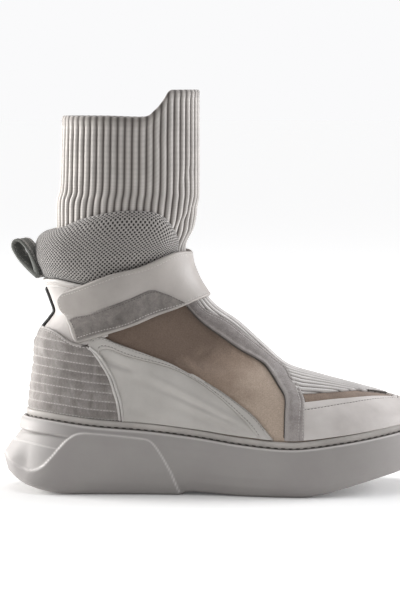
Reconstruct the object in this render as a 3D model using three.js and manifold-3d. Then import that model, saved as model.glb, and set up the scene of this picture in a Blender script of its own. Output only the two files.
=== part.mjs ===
// A sneaker boot for the right foot, in millimetres: thick cup sole, lasted upper with
// leather and suede overlays, padded ankle collar, wide closing strap and ribbed knit shaft.
// +X points to the toe, +Y to the inner side of the foot and +Z up. The origin is on the
// floor, under the middle of the heel.
import * as THREE from 'three';
import { mergeVertices } from 'three/addons/utils/BufferGeometryUtils.js';
import Module from 'manifold-3d';

const wasm = await Module();
wasm.setup();
const { lerp, smoothstep } = THREE.MathUtils;

// Sizes of the foot and its shell
const FOOT_LENGTH = 282.5; // heel back to toe tip, along the feather line
const HEEL_BACK = 35; // heel back behind the origin
const HEEL_WIDTH = 62;
const WAIST_WIDTH = 68;
const BALL_WIDTH = 96;
const TOE_SWING = 7; // how far the toe's tip stands inwards
const BALL_SWING = -3; // how far the ball's middle stands outwards
const SHELL_HEIGHT = 101; // bed to topline, at the back of the heel
const UPPER_WALL = 2.2;

// Sizes of the shaft above the topline
const ANKLE_LENGTH = 102; // topline, back to front
const ANKLE_WIDTH = 76;
const SHAFT_HEIGHT = 135; // topline at the back to the top of the front tab
const KNIT_WALL = 2.4;
const RIM_DROP = 18.5; // tab's top down to the shaft's level rim
const SHAFT_FOOT = 15; // length of the shaft's end inside the upper

// Sizes of the sole
const HEEL_STACK = 52.5; // lip above the floor at the back of the heel
const BALL_STACK = 33.8;
const TOE_STACK = 48;
const HEEL_TIP = 23; // height of the heel's rearmost edge
const TOE_TIP = 27;
const SOLE_MARGIN = 6; // lip's outer edge beyond the feather line
const LIP_WIDTH = 2.6;
const CHANNEL_DEPTH = 2.5;
const BLOCK_RISE = 2.2; // how far the heel block stands proud of the wall
const EDGE_ROUND = 3;
const ARCH_RISE = 1.8;
const GROOVE_DEPTH = 2.5;
const GROOVE_WIDTH = 4;

// Sizes of the smaller pieces
const CLEAR = 0.3; // between pieces that touch in the real boot
const KNIT_CLEAR = 0.6; // round the knit, whose ribs stand a little proud
const OVERLAY = 1.3; // thickness of a leather or suede overlay
const BAND_THICK = 1.7;
const COUNTER_PAD = 3.4; // counter's thickness at its upper edge
const COLLAR_PAD = 13.5; // collar's bulge beyond the knit at the back
const COLLAR_SIDE = 5; // the same at the sides
const RAND_HEIGHT = 6.5;
const RAND_THICK = 1.8;
const INSOLE_THICK = 5;
const STRAP_WIDTH = 39.5;
const STRAP_THICK = 2.6;
const PATCH_THICK = 1.1;
const LOOP_WIDTH = 17;
const LOOP_THICK = 1.8;
const LOOP_LENGTH = 33;
const LOOP_GAP = 5; // half the loop's opening, where it is widest
const LOOP_TILT = 53; // degrees up from straight back
const LOOP_TURN = -22; // degrees, about the vertical

// How finely the curved walls are divided
const AROUND = 42;
const KNIT_AROUND = 34;
const REACH = 90; // past the boot's side, for cutting prisms

// Smooth curve through [x, y] knots, level beyond its ends.
function through(knots, x) {
  const last = knots.length - 1;
  if (x <= knots[0][0]) return knots[0][1];
  if (x >= knots[last][0]) return knots[last][1];
  const i = knots.findIndex((knot, n) => n < last && x < knots[n + 1][0]);
  const slope = (n) => {
    const before = knots[Math.max(n - 1, 0)];
    const after = knots[Math.min(n + 1, last)];
    return (after[1] - before[1]) / (after[0] - before[0]);
  };
  const span = knots[i + 1][0] - knots[i][0];
  const u = (x - knots[i][0]) / span;
  return (
    knots[i][1] * (1 + 2 * u) * (1 - u) ** 2 +
    slope(i) * span * u * (1 - u) ** 2 +
    knots[i + 1][1] * u * u * (3 - 2 * u) +
    slope(i + 1) * span * u * u * (u - 1)
  );
}

// Place along the foot as a share of its length, from the heel's back, and the other way.
const shareAt = (x) => (x + HEEL_BACK) / FOOT_LENGTH;
const footX = (share) => share * FOOT_LENGTH - HEEL_BACK;

// Height of the sole's lip: full at the heel, low at the ball and up again at the toe.
const LIP_HEEL = [
  [-0.04, 1.03], [0, 1], [0.05, 0.95], [0.17, 0.74], [0.3, 0.58], [0.42, 0.37],
  [0.52, 0.15], [0.62, 0.01], [0.68, 0],
];
const LIP_TOE = [[0.62, 0], [0.68, 0.01], [0.79, 0.27], [0.87, 0.5], [0.92, 0.66], [1.03, 1.05]];
function lipZ(x) {
  const heel = through(LIP_HEEL, shareAt(x)) * (HEEL_STACK - BALL_STACK);
  const toe = through(LIP_TOE, shareAt(x)) * (TOE_STACK - BALL_STACK);
  return BALL_STACK + heel + toe;
}
const bedZ = (x) => lipZ(x) - CHANNEL_DEPTH;

// Height of the sole's underside: heel bevel, flat heel, shallow arch, flat ball, toe spring.
const FLOOR_HEEL = [
  [-0.068, 1], [-0.061, 0.78], [-0.052, 0.46], [-0.045, 0.3], [-0.028, 0.205], [-0.01, 0.165],
  [0.011, 0.11], [0.032, 0.065], [0.055, 0.02], [0.07, 0],
];
const FLOOR_ARCH = [[0.385, 0], [0.395, 1], [0.45, 0.8], [0.53, 0]];
const FLOOR_TOE = [
  [0.69, 0], [0.735, 0.07], [0.78, 0.19], [0.83, 0.33], [0.88, 0.46], [0.935, 0.6], [0.985, 0.8], [1.03, 1],
];
function floorZ(x) {
  const share = shareAt(x);
  if (share < FLOOR_HEEL.at(-1)[0]) return through(FLOOR_HEEL, share) * HEEL_TIP;
  if (share > FLOOR_TOE[0][0]) return through(FLOOR_TOE, share) * TOE_TIP;
  return through(FLOOR_ARCH, share) * ARCH_RISE;
}

// Middle line of the foot, seen from above.
const SWING = (x) =>
  through([[0.3, 0], [0.6, 1], [0.76, 0]], shareAt(x)) * BALL_SWING +
  through([[0.6, 0], [0.8, 0.2], [1, 1], [1.05, 1.2]], shareAt(x)) * TOE_SWING;

// Rings of the lasted shell, from feather to topline. back and front are shares of
// FOOT_LENGTH, backUp and frontUp shares of SHELL_HEIGHT above the bed, and follow is how
// much of the bed's dip the ring keeps. heel, waist and ball are shares of those widths, and
// heelCap and toeCap are the shares of the ring that round its ends.
const SHELL_ROWS = [
  { back: 0.000, front: 1.000, backUp: 0.000, frontUp: 0.000, follow: 1.00, heel: 0.95, waist: 0.96, ball: 0.98, heelCap: 0.16, toeCap: 0.30 },
  { back: -0.005, front: 1.006, backUp: 0.050, frontUp: 0.050, follow: 0.96, heel: 1.00, waist: 1.02, ball: 1.01, heelCap: 0.17, toeCap: 0.30 },
  { back: -0.004, front: 1.000, backUp: 0.130, frontUp: 0.110, follow: 0.86, heel: 1.04, waist: 1.08, ball: 1.01, heelCap: 0.18, toeCap: 0.30 },
  { back: -0.001, front: 0.975, backUp: 0.225, frontUp: 0.156, follow: 0.68, heel: 1.05, waist: 1.11, ball: 0.97, heelCap: 0.19, toeCap: 0.31 },
  { back: 0.004, front: 0.918, backUp: 0.320, frontUp: 0.244, follow: 0.50, heel: 1.04, waist: 1.12, ball: 0.88, heelCap: 0.20, toeCap: 0.34 },
  { back: 0.010, front: 0.830, backUp: 0.405, frontUp: 0.353, follow: 0.34, heel: 1.03, waist: 1.10, ball: 0.77, heelCap: 0.22, toeCap: 0.38 },
  { back: 0.014, front: 0.735, backUp: 0.480, frontUp: 0.462, follow: 0.22, heel: 1.02, waist: 1.08, ball: 0.68, heelCap: 0.24, toeCap: 0.42 },
  { back: 0.019, front: 0.650, backUp: 0.555, frontUp: 0.560, follow: 0.12, heel: 1.00, waist: 1.06, ball: 0.61, heelCap: 0.26, toeCap: 0.46 },
  { back: 0.034, front: 0.585, backUp: 0.635, frontUp: 0.703, follow: 0.05, heel: 0.98, waist: 1.05, ball: 0.58, heelCap: 0.30, toeCap: 0.50 },
  { back: 0.054, front: 0.524, backUp: 0.710, frontUp: 0.838, follow: 0.00, heel: 0.96, waist: 1.05, ball: 0.59, heelCap: 0.36, toeCap: 0.54 },
  { back: 0.067, front: 0.465, backUp: 0.780, frontUp: 0.930, follow: 0.00, heel: 0.97, waist: 1.07, ball: 0.62, heelCap: 0.42, toeCap: 0.58 },
  { back: 0.056, front: 0.424, backUp: 0.880, frontUp: 1.052, follow: 0.00, heel: 1.03, waist: 1.10, ball: 0.68, heelCap: 0.46, toeCap: 0.56 },
  { back: 0.041, front: 0.401, backUp: 1.000, frontUp: 1.180, follow: 0.00, heel: 1.10, waist: 1.13, ball: 0.74, heelCap: 0.48, toeCap: 0.54 },
];
const TOPLINE = SHELL_ROWS.length - 1;

// Rings of the shaft above the topline. back and front are shares of ANKLE_LENGTH from the
// topline's ends, up is a share of SHAFT_HEIGHT, lean raises the front, and wide is a share
// of ANKLE_WIDTH.
const SHAFT_ROWS = [
  { back: 0.020, front: -0.018, up: 0.075, lean: 0.055, wide: 0.985 },
  { back: 0.050, front: -0.014, up: 0.165, lean: 0.030, wide: 0.96 },
  { back: 0.064, front: 0.042, up: 0.265, lean: 0.020, wide: 0.95 },
  { back: 0.066, front: 0.070, up: 0.410, lean: 0.000, wide: 0.96 },
  { back: 0.090, front: 0.076, up: 0.500, lean: 0.000, wide: 0.97 },
  { back: 0.102, front: 0.076, up: 0.770, lean: 0.000, wide: 0.99 },
  { back: 0.120, front: 0.076, up: 1.020, lean: 0.000, wide: 1.00 },
];

// A ring in millimetres: where its ends lie, its half widths and how round its ends are.
function shellRing(row) {
  const back = footX(row.back);
  const front = footX(row.front);
  return {
    back,
    front,
    backZ: bedZ(back) + CLEAR + row.backUp * SHELL_HEIGHT,
    frontZ: bedZ(front) + CLEAR + row.frontUp * SHELL_HEIGHT,
    follow: row.follow,
    heel: (row.heel * HEEL_WIDTH) / 2,
    waist: (row.waist * WAIST_WIDTH) / 2,
    ball: (row.ball * BALL_WIDTH) / 2,
    heelCap: row.heelCap,
    toeCap: row.toeCap,
  };
}
const SHELL_RINGS = SHELL_ROWS.map(shellRing);
const TOP = SHELL_RINGS[TOPLINE];

function shaftRing(row) {
  const wide = (row.wide * ANKLE_WIDTH) / 2;
  return {
    back: TOP.back + row.back * ANKLE_LENGTH,
    front: TOP.front + row.front * ANKLE_LENGTH,
    backZ: TOP.backZ + row.up * SHAFT_HEIGHT,
    frontZ: TOP.backZ + (row.up + row.lean) * SHAFT_HEIGHT,
    follow: 0,
    heel: wide,
    waist: wide,
    ball: wide,
    heelCap: 0.5,
    toeCap: 0.5,
  };
}
const RINGS = [...SHELL_RINGS, ...SHAFT_ROWS.map(shaftRing)];
const SHAFT_END = RINGS.length - 1;

// The ring at any level: each column runs smoothly through the rows.
function ringAt(level) {
  const i = Math.min(Math.max(Math.floor(level), 0), SHAFT_END - 1);
  const u = level - i;
  const at = (n) => RINGS[Math.min(Math.max(n, 0), SHAFT_END)];
  const ring = {};
  for (const column of Object.keys(TOP)) {
    const [a, b, c, d] = [at(i - 1), at(i), at(i + 1), at(i + 2)].map((row) => row[column]);
    ring[column] =
      b + 0.5 * u * (c - a + u * (2 * a - 5 * b + 4 * c - d + u * (3 * (b - c) + d - a)));
  }
  return ring;
}

// Round end of a ring: 0 at the tip, 1 from the share cap onwards.
const roundEnd = (share, cap) => Math.sqrt(1 - (1 - Math.min(share / cap, 1)) ** 2);

// A point of the boot's form. around runs from the heel's back (0) by the outer side and the
// toe (PI) and back by the inner side. level counts the rings, feather 0 to shaft top.
function formPoint(around, level) {
  const ring = ringAt(level);
  const share = (1 - Math.cos(around)) / 2;
  const x = lerp(ring.back, ring.front, share);
  const widths = [
    [0, ring.heel], [0.14, ring.heel], [0.42, ring.waist], [0.7, ring.ball], [1, ring.ball],
  ];
  const round = roundEnd(share, ring.heelCap) * roundEnd(1 - share, ring.toeCap);
  const side = Math.sin(around) < 0 ? 1 : -1;
  const chord = lerp(bedZ(ring.back), bedZ(ring.front), share);
  const z = lerp(ring.backZ, ring.frontZ, share) + ring.follow * (bedZ(x) - chord);
  return new THREE.Vector3(x, SWING(x) + side * through(widths, share) * round, z);
}

// The same, moved out along the form's own normal.
function form(around, level, out = 0) {
  const point = formPoint(around, level);
  if (!out) return point;
  const step = 0.004;
  const low = Math.max(level - step, 0);
  const high = Math.min(level + step, SHAFT_END);
  const across = formPoint(around + step, level).sub(formPoint(around - step, level));
  const up = formPoint(around, high).sub(formPoint(around, low));
  return point.addScaledVector(across.cross(up).normalize(), out);
}

const angle = (i, count = AROUND) => (i / count) * 2 * Math.PI;
const ringOf = (place, count = AROUND) => Array.from({ length: count }, (_, i) => place(angle(i, count)));

// A geometry from points and triangles, with its faces turned outwards.
function facingOut(points, faces) {
  let volume = 0;
  for (const [a, b, c] of faces) {
    volume += points[a].dot(new THREE.Vector3().crossVectors(points[b], points[c]));
  }
  const index = faces.flatMap(([a, b, c]) => (volume < 0 ? [a, c, b] : [a, b, c]));
  return new THREE.BufferGeometry().setFromPoints(points).setIndex(index);
}

// Faces between neighbouring loops of equally many points. turned says, for a row and a
// place in it, whether the square there is split along its other diagonal.
function skin(loops, count, closed, turned = () => false) {
  const faces = [];
  const rows = closed ? loops : loops - 1;
  for (let j = 0; j < rows; j++) {
    for (let i = 0; i < count; i++) {
      const next = (i + 1) % count;
      const [low, high] = [j * count, ((j + 1) % loops) * count];
      if (turned(j, i)) faces.push([low + i, low + next, high + i], [low + next, high + next, high + i]);
      else faces.push([low + i, low + next, high + next], [low + i, high + next, high + i]);
    }
  }
  return faces;
}

// A wall whose loops close on themselves: up its outside and down its inside. Both sides are
// split alike, so that walls on the same rings never cross.
function wallSolid(loops) {
  const down = (j) => j >= loops.length / 2;
  return facingOut(loops.flat(), skin(loops.length, loops[0].length, true, down));
}

// A stack of loops with a flat-ruled cap at each end. turn says which points face each other
// in a cap: 0 for outlines that start at the heel's back, 1 for strips folded at their end.
function stackSolid(loops, turn = 0) {
  const count = loops[0].length;
  const inside = (j, i) => turn === 1 && i >= count / 2;
  const faces = skin(loops.length, count, false, inside);
  const mate = (i) => (2 * count - i - turn) % count;
  for (const [base, flip] of [[0, true], [(loops.length - 1) * count, false]]) {
    for (let i = 0; i < count / 2 - turn; i++) {
      const quad = [i, i + 1, mate(i + 1), mate(i)];
      for (const [a, b, c] of [[quad[0], quad[1], quad[2]], [quad[0], quad[2], quad[3]]]) {
        if (a === b || b === c || a === c) continue;
        faces.push(flip ? [base + a, base + c, base + b] : [base + a, base + b, base + c]);
      }
    }
  }
  return facingOut(loops.flat(), faces);
}

// A three.js geometry as a solid that can be joined and cut, and back again.
function solid(geometry) {
  const plain = new THREE.BufferGeometry().setAttribute('position', geometry.getAttribute('position'));
  if (geometry.index) plain.setIndex(geometry.index);
  const merged = mergeVertices(plain, 1e-4);
  return new wasm.Manifold(
    new wasm.Mesh({
      numProp: 3,
      vertProperties: new Float32Array(merged.attributes.position.array),
      triVerts: new Uint32Array(merged.index.array),
    }),
  );
}
function geometryOf(manifold) {
  const mesh = manifold.getMesh();
  const points = new Float32Array(mesh.numVert * 3);
  for (let i = 0; i < mesh.numVert; i++) {
    points.set(mesh.vertProperties.subarray(i * mesh.numProp, i * mesh.numProp + 3), i * 3);
  }
  return new THREE.BufferGeometry()
    .setAttribute('position', new THREE.BufferAttribute(points, 3))
    .setIndex(new THREE.BufferAttribute(mesh.triVerts, 1));
}

// A prism across the boot from an outline in its side view, [x, z] corners in millimetres.
function sidePrism(corners, fromY = -REACH, toY = REACH) {
  const shape = new THREE.Shape(corners.map(([x, z]) => new THREE.Vector2(x, z)));
  const prism = new THREE.ExtrudeGeometry(shape, { depth: toY - fromY, bevelEnabled: false });
  prism.rotateX(Math.PI / 2).translate(0, toY, 0);
  return solid(prism);
}
const outerPrism = (corners) => sidePrism(corners, -REACH, -CLEAR);
const innerPrism = (corners) => sidePrism(corners, CLEAR, REACH);

// A prism that stands on the throat's outline.
function throatPrism(grow) {
  const edge = THROAT.map(([share, half]) => {
    const x = footX(share);
    return [x, SWING(x), half * BALL_WIDTH + grow];
  });
  const outline = [
    ...edge.map(([x, middle, half]) => new THREE.Vector2(x, middle - half)),
    ...edge.reverse().map(([x, middle, half]) => new THREE.Vector2(x, middle + half)),
  ];
  return solid(new THREE.ExtrudeGeometry(new THREE.Shape(outline), { depth: 2 * REACH, bevelEnabled: false }));
}

// Levels of a wall from one ring to another, on the rings that lie between.
function levelsBetween(from, to) {
  const levels = [from];
  for (let level = Math.floor(from) + 1; level < to - 0.05; level++) levels.push(level);
  return [...levels, to];
}

// The form's wall between two depths, which may be numbers or functions of place.
function formWall(from, to, inner, outer, count = AROUND) {
  const levels = levelsBetween(from, to);
  const depth = (value, around, level) => (typeof value === 'function' ? value(around, level) : value);
  const loop = (level, value) =>
    ringOf((around) => form(around, level, depth(value, around, level)), count);
  return wallSolid([
    ...levels.map((level) => loop(level, outer)),
    ...levels.reverse().map((level) => loop(level, inner)),
  ]);
}

// A point of the sole's outline: the feather line moved out in plan.
function soleOutline(around, out) {
  const step = 0.01;
  const point = formPoint(around, 0);
  const across = formPoint(around + step, 0).sub(formPoint(around - step, 0));
  const length = Math.hypot(across.x, across.y);
  return new THREE.Vector2(point.x + (across.y / length) * out, point.y - (across.x / length) * out);
}

// Rows of the sole's wall from the floor up. up is the share of the wall's height, and heel
// and fore are how far the row stands outside the lip at the back and elsewhere.
const WALL_ROWS = [
  { up: 0.000, heel: 11.3, fore: -0.6 },
  { up: 0.140, heel: 9.2, fore: 1.0 },
  { up: 0.340, heel: 7.6, fore: 1.8 },
  { up: 0.560, heel: 5.0, fore: 1.8 },
  { up: 0.600, heel: 3.5, fore: 1.8 },
  { up: 0.735, heel: 2.9, fore: 1.4 },
  { up: 0.765, heel: 1.6, fore: 1.3 },
  { up: 0.820, heel: 2.2, fore: 1.1 },
  { up: 1.000, heel: 0.0, fore: 0.0 },
];
const TIER_START = 0.15; // share of the foot where the heel's tiers have died away
const TIER_FULL = 0.03;

// How much of the heel's flare a place on the sole has.
const flareAt = (x) => 1 - smoothstep(shareAt(x), TIER_FULL, TIER_START);

function solePoint(around, out, height) {
  const place = soleOutline(around, SOLE_MARGIN + out);
  return new THREE.Vector3(place.x, place.y, height(place.x));
}

// The sole without tread: underside, wall, lip, stitch channel and bed.
function soleBody(rise) {
  const flare = (around) => flareAt(formPoint(around, 0).x);
  const tip = EDGE_ROUND * 0.8;
  const inset = (around) => lerp(-EDGE_ROUND - 1, WALL_ROWS[0].heel - EDGE_ROUND, flare(around));
  const loops = [ringOf((around) => solePoint(around, inset(around) + rise, floorZ))];
  for (const row of WALL_ROWS) {
    loops.push(
      ringOf((around) => {
        const first = soleOutline(around, SOLE_MARGIN + lerp(WALL_ROWS[0].fore, WALL_ROWS[0].heel, flare(around)));
        const out = lerp(row.fore, row.heel, flare(around)) + rise;
        return solePoint(around, out, (x) => lerp(floorZ(first.x) + tip, lipZ(x), row.up));
      }),
    );
  }
  for (const [out, height] of [[-LIP_WIDTH, lipZ], [-LIP_WIDTH, bedZ]]) {
    loops.push(ringOf((around) => solePoint(around, out + (height === bedZ ? -0.2 : 0) + rise, height)));
  }
  return solid(stackSolid(loops));
}

// Side outline of the raised heel block, in shares of FOOT_LENGTH from the heel's back and of
// the lip's height above it.
const BLOCK_CORNERS = [
  [-0.2, -0.1], [-0.2, 0.5], [-0.058, 0.5], [-0.042, 0.4], [-0.022, 0.335], [0.006, 0.32],
  [0.03, 0.38], [0.056, 0.53], [0.08, 0.69], [0.098, 0.79], [0.12, 0.87], [0.145, 0.9],
  [0.29, 0.88], [0.308, 0.84], [0.33, 0.67], [0.356, 0.39], [0.386, -0.1],
];
function heelBlock() {
  const corners = BLOCK_CORNERS.map(([share, up]) => [footX(share), up * lipZ(footX(Math.max(share, 0)))]);
  return soleBody(BLOCK_RISE).intersect(sidePrism(corners));
}

// Tread: bars across the heel and the ball, parted by grooves.
const GROOVES = [0.17, 0.23, 0.29, 0.35, 0.58, 0.65, 0.72, 0.79, 0.86];
const GROOVE_SHARE = 0.68; // of the foot's width there
function treadGrooves() {
  return GROOVES.map((share) => {
    const x = footX(share);
    const top = floorZ(x) + GROOVE_DEPTH;
    const half = GROOVE_WIDTH / 2;
    const reach = GROOVE_SHARE * Math.abs(formPoint(Math.acos(1 - 2 * share), 0).y);
    const corners = [[x - half, -GROOVE_DEPTH], [x + half, -GROOVE_DEPTH], [x + half, top], [x - half, top]];
    return sidePrism(corners, -reach, reach);
  });
}
function sole() {
  let made = soleBody(0).add(heelBlock());
  for (const groove of treadGrooves()) made = made.subtract(groove);
  return geometryOf(made);
}

// Strip round the foot of the upper, inside the sole's lip.
function rand() {
  const low = CLEAR;
  const loop = (out, up) =>
    ringOf((around) => {
      const point = form(around, up / (0.05 * SHELL_HEIGHT), out);
      point.z = bedZ(point.x) + low + up;
      return point;
    });
  const outer = CLEAR + RAND_THICK;
  return wallSolid([
    loop(outer, 0), loop(outer, RAND_HEIGHT * 0.8), loop(outer - 0.6, RAND_HEIGHT),
    loop(CLEAR, RAND_HEIGHT), loop(CLEAR, RAND_HEIGHT * 0.8), loop(CLEAR, 0),
  ]);
}

function insole() {
  const out = -UPPER_WALL - CLEAR;
  const loop = (up, tuck) =>
    ringOf((around) => {
      const place = soleOutline(around, out - tuck);
      return new THREE.Vector3(place.x, place.y, bedZ(place.x) + CLEAR + up);
    });
  return stackSolid([loop(0, 1.5), loop(INSOLE_THICK * 0.6, 0.6), loop(INSOLE_THICK, 1.2)]);
}

const upper = () => formWall(0, TOPLINE, -UPPER_WALL, 0);

// Side outlines of the overlays: corners as shares of FOOT_LENGTH from the heel's back and of
// SHELL_HEIGHT above the bed under the heel.
const side = (corners) =>
  corners.map(([share, up]) => [footX(share), bedZ(footX(0)) + up * SHELL_HEIGHT]);

const COUNTER_EDGE = [
  [0.145, 0.545], [0.168, 0.498], [0.187, 0.421], [0.205, 0.33], [0.216, 0.237], [0.226, 0.132], [0.234, -0.06],
];
const QUARTER_TOP = [[0.205, 0.604], [0.304, 0.492], [0.43, 0.311], [0.508, 0.18], [0.562, 0.066], [0.62, -0.12]];
const BAND_REAR = [
  [0.39, 0.83], [0.429, 0.711], [0.479, 0.606], [0.529, 0.507], [0.585, 0.411], [0.605, 0.346],
  [0.625, 0.262], [0.639, 0.19], [0.639, 0.084], [0.636, -0.3],
];
const BAND_FORE = [[0.686, -0.3], [0.69, 0.108], [0.688, 0.171], [0.676, 0.25], [0.676, 0.95], [0.45, 0.95]];

// The throat between the side bands, seen from above: rows of [share of FOOT_LENGTH, half
// width as a share of BALL_WIDTH].
const THROAT = [
  [0.38, 0.16], [0.436, 0.15], [0.479, 0.12], [0.53, 0.1], [0.58, 0.077], [0.611, 0.068], [0.632, 0.083],
  [0.644, 0.13], [0.656, 0.245], [0.676, 0.335], [0.692, 0.415], [0.7, 0.6], [0.96, 0.6],
];
const GUARD_TOP = [
  [0.694, 0.162], [0.78, 0.172], [0.855, 0.17], [0.9, 0.156], [0.917, 0.15], [0.917, 0.3], [1.1, 0.3],
];
const INSERT_LOW = [[0.66, 0.211], [0.686, 0.211], [0.731, 0.205], [0.782, 0.21], [0.832, 0.205], [0.87, 0.196], [0.905, 0.176], [0.913, 0.165]];
const SADDLE_LOW = [[-0.2, 0.66], [0.022, 0.66], [0.068, 0.64], [0.113, 0.565], [0.14, 0.57], [0.2, 0.64]];

const SIDE_GAP = 0.002; // between neighbouring overlays, as a share of FOOT_LENGTH

// Overlays are the form's wall between two depths, cut to their side outlines. They start
// on the rand's upper edge.
const OVERLAY_FOOT = 1.36;
const OVERLAY_WALL = solid(formWall(OVERLAY_FOOT, TOPLINE - 0.3, CLEAR, CLEAR + OVERLAY));
const BAND_WALL = solid(formWall(OVERLAY_FOOT, TOPLINE - 1.2, CLEAR, CLEAR + BAND_THICK));

function heelCounter() {
  const pad = (around, level) => CLEAR + lerp(OVERLAY, COUNTER_PAD, smoothstep(level, 4, 7.6));
  const wall = solid(formWall(OVERLAY_FOOT, TOPLINE - 3, CLEAR, pad));
  const corners = [[-0.2, -0.1], [-0.2, 0.64], [0.02, 0.64], [0.065, 0.615], [0.105, 0.545], ...COUNTER_EDGE];
  return geometryOf(wall.intersect(sidePrism(side(corners))));
}

function quarter(prism) {
  const gap = (corners) => corners.map(([share, up]) => [share + SIDE_GAP, up]);
  const corners = [...gap(COUNTER_EDGE).reverse(), [0.165, 0.585], ...QUARTER_TOP];
  return geometryOf(OVERLAY_WALL.intersect(prism(side(corners))));
}

function sideBand(prism) {
  const strip = BAND_WALL.intersect(prism(side([...BAND_REAR, ...BAND_FORE])));
  return geometryOf(strip.subtract(throatPrism(CLEAR)));
}

function toeGuard() {
  const corners = [[0.69, -0.3], [0.694, 0.108], ...GUARD_TOP, [1.1, -0.3]];
  return geometryOf(OVERLAY_WALL.intersect(sidePrism(side(corners))));
}

function vampInsert() {
  const corners = [[0.4, 0.7], ...INSERT_LOW, [0.913, 0.3], [0.7, 0.7], [0.49, 1.05], [0.4, 0.98]];
  return geometryOf(OVERLAY_WALL.intersect(sidePrism(side(corners))).intersect(throatPrism(0)));
}

function heelSaddle() {
  const corners = [...SADDLE_LOW, [0.2, 0.95], [0.1, 1.0], [-0.2, 1.0]];
  return geometryOf(OVERLAY_WALL.intersect(sidePrism(side(corners))));
}

// The shaft's outer skin: inside the upper below the topline, on the form above it.
const shaftSkin = (around, level) =>
  -(UPPER_WALL + KNIT_CLEAR) * (1 - smoothstep(level, TOPLINE, TOPLINE + 1));

// Ribbed knit shaft, cut along its level rim and the raised tab at its front.
function knitShaft() {
  const foot = TOPLINE - SHAFT_FOOT / (0.11 * SHELL_HEIGHT);
  const inner = (around, level) => shaftSkin(around, level) - KNIT_WALL;
  const tube = solid(formWall(foot, SHAFT_END, inner, shaftSkin, KNIT_AROUND));
  const top = TOP.backZ + SHAFT_HEIGHT;
  const rim = top - RIM_DROP;
  const x = (share) => TOP.back + share * ANKLE_LENGTH;
  const corners = [
    [x(-0.5), rim + 0.6], [x(0.4), rim], [x(0.66), rim - 0.8], [x(0.72), rim + 0.4], [x(0.755), rim + 3.2],
    [x(0.81), rim + 9], [x(0.875), top], [x(1.5), top], [x(1.5), top + REACH], [x(-0.5), top + REACH],
  ];
  return geometryOf(tube.subtract(sidePrism(corners)));
}

// Webbing loop: both ends are sewn together at its foot, and its far end is round.
function loopRing(inside, height, grow = 0) {
  return ringOf((turn) => {
    const share = (1 - Math.cos(turn)) / 2;
    const leg = roundEnd(share, 0.03) * roundEnd(1 - share, 0.14) * (LOOP_THICK + grow);
    const gap = LOOP_GAP * Math.sin(turn) * Math.sqrt(share);
    const along = inside ? lerp(0.2 * LOOP_LENGTH, LOOP_LENGTH - LOOP_THICK, share) : share * LOOP_LENGTH;
    return new THREE.Vector3(along, height, gap + (inside ? 0 : Math.sign(Math.sin(turn)) * leg));
  }, 24);
}
function placeLoop(made) {
  made.rotateY(THREE.MathUtils.degToRad(180 + LOOP_TILT)).rotateZ(THREE.MathUtils.degToRad(LOOP_TURN));
  return made.translate(TOP.back - 2.6, 0, TOP.backZ + 1.5);
}
function pullLoop() {
  const half = LOOP_WIDTH / 2;
  return placeLoop(wallSolid([
    loopRing(false, -half), loopRing(false, half), loopRing(true, half), loopRing(true, -half),
  ]));
}
// The loop without its opening, grown on all sides.
function loopBody(grow) {
  const half = LOOP_WIDTH / 2 + grow;
  return placeLoop(stackSolid([loopRing(false, -half, grow), loopRing(false, half, grow)]));
}

// Height of the collar's upper edge: rows of [share of ANKLE_LENGTH from the topline's back,
// share of SHAFT_HEIGHT above it].
const COLLAR_TOP = [
  [-0.12, 0.235], [0.1, 0.275], [0.25, 0.325], [0.4, 0.355], [0.55, 0.372], [0.68, 0.37],
  [0.77, 0.36], [0.83, 0.335], [0.88, 0.29], [0.93, 0.21], [0.95, 0.15],
];
const COLLAR_END = 0.735; // half of the collar's turn, as a share of the half circle

// A section of the collar: a pad, thick at mid height, with a rolled upper edge.
const PAD_ROWS = [
  { up: 0.00, out: 0.08 }, { up: 0.15, out: 0.37 }, { up: 0.37, out: 0.76 }, { up: 0.62, out: 1.0 },
  { up: 0.82, out: 0.93 }, { up: 0.94, out: 0.6 }, { up: 1.00, out: 0.04 },
];
function collarSection(around) {
  const turn = Math.abs(Math.PI - around) / Math.PI;
  const back = turn ** 3;
  const pad = lerp(COLLAR_SIDE, COLLAR_PAD, back);
  const low = TOPLINE + 0.02 + CLEAR / (0.075 * SHAFT_HEIGHT);
  const wanted = (level) => {
    const point = formPoint(around, level);
    const share = (point.x - TOP.back) / ANKLE_LENGTH;
    return point.z - TOP.backZ - through(COLLAR_TOP, share) * SHAFT_HEIGHT;
  };
  let [under, over] = [low, SHAFT_END];
  for (let i = 0; i < 30; i++) {
    const middle = (under + over) / 2;
    if (wanted(middle) < 0) under = middle;
    else over = middle;
  }
  const level = (up) => lerp(low, under, up);
  const outside = PAD_ROWS.map(({ up, out }) => form(around, level(up), out * pad));
  const inside = PAD_ROWS.map(({ up }) =>
    form(around, level(up), shaftSkin(around, level(up)) - KNIT_CLEAR));
  return [...outside, ...inside.reverse()];
}
function ankleCollar() {
  const count = 30;
  const sections = Array.from({ length: count + 1 }, (_, i) =>
    collarSection(((i / count) * 2 - 1) * COLLAR_END * Math.PI + 2 * Math.PI * (i < count / 2)));
  const skin = (around, level) => shaftSkin(around, level) + CLEAR;
  const shaft = solid(formWall(TOPLINE - 1, SHAFT_END, -KNIT_WALL - 2, skin, KNIT_AROUND));
  return geometryOf(solid(stackSolid(sections, 1)).subtract(shaft).subtract(solid(loopBody(CLEAR))));
}

// The strap's middle line is a plane that rises to the front: its height at the front, its
// slope, and how far back its ends reach.
const STRAP_FRONT_UP = 1.044; // share of SHELL_HEIGHT above the bed under the heel
const STRAP_SLOPE = 0.36;
const STRAP_REACH = 0.755; // of the half turn from the front to the back
const STRAP_SKEW = 0.042; // how much further back the upper edge reaches, the same way
const STRAP_DIP = 3.2; // how far its middle sinks at the front

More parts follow.
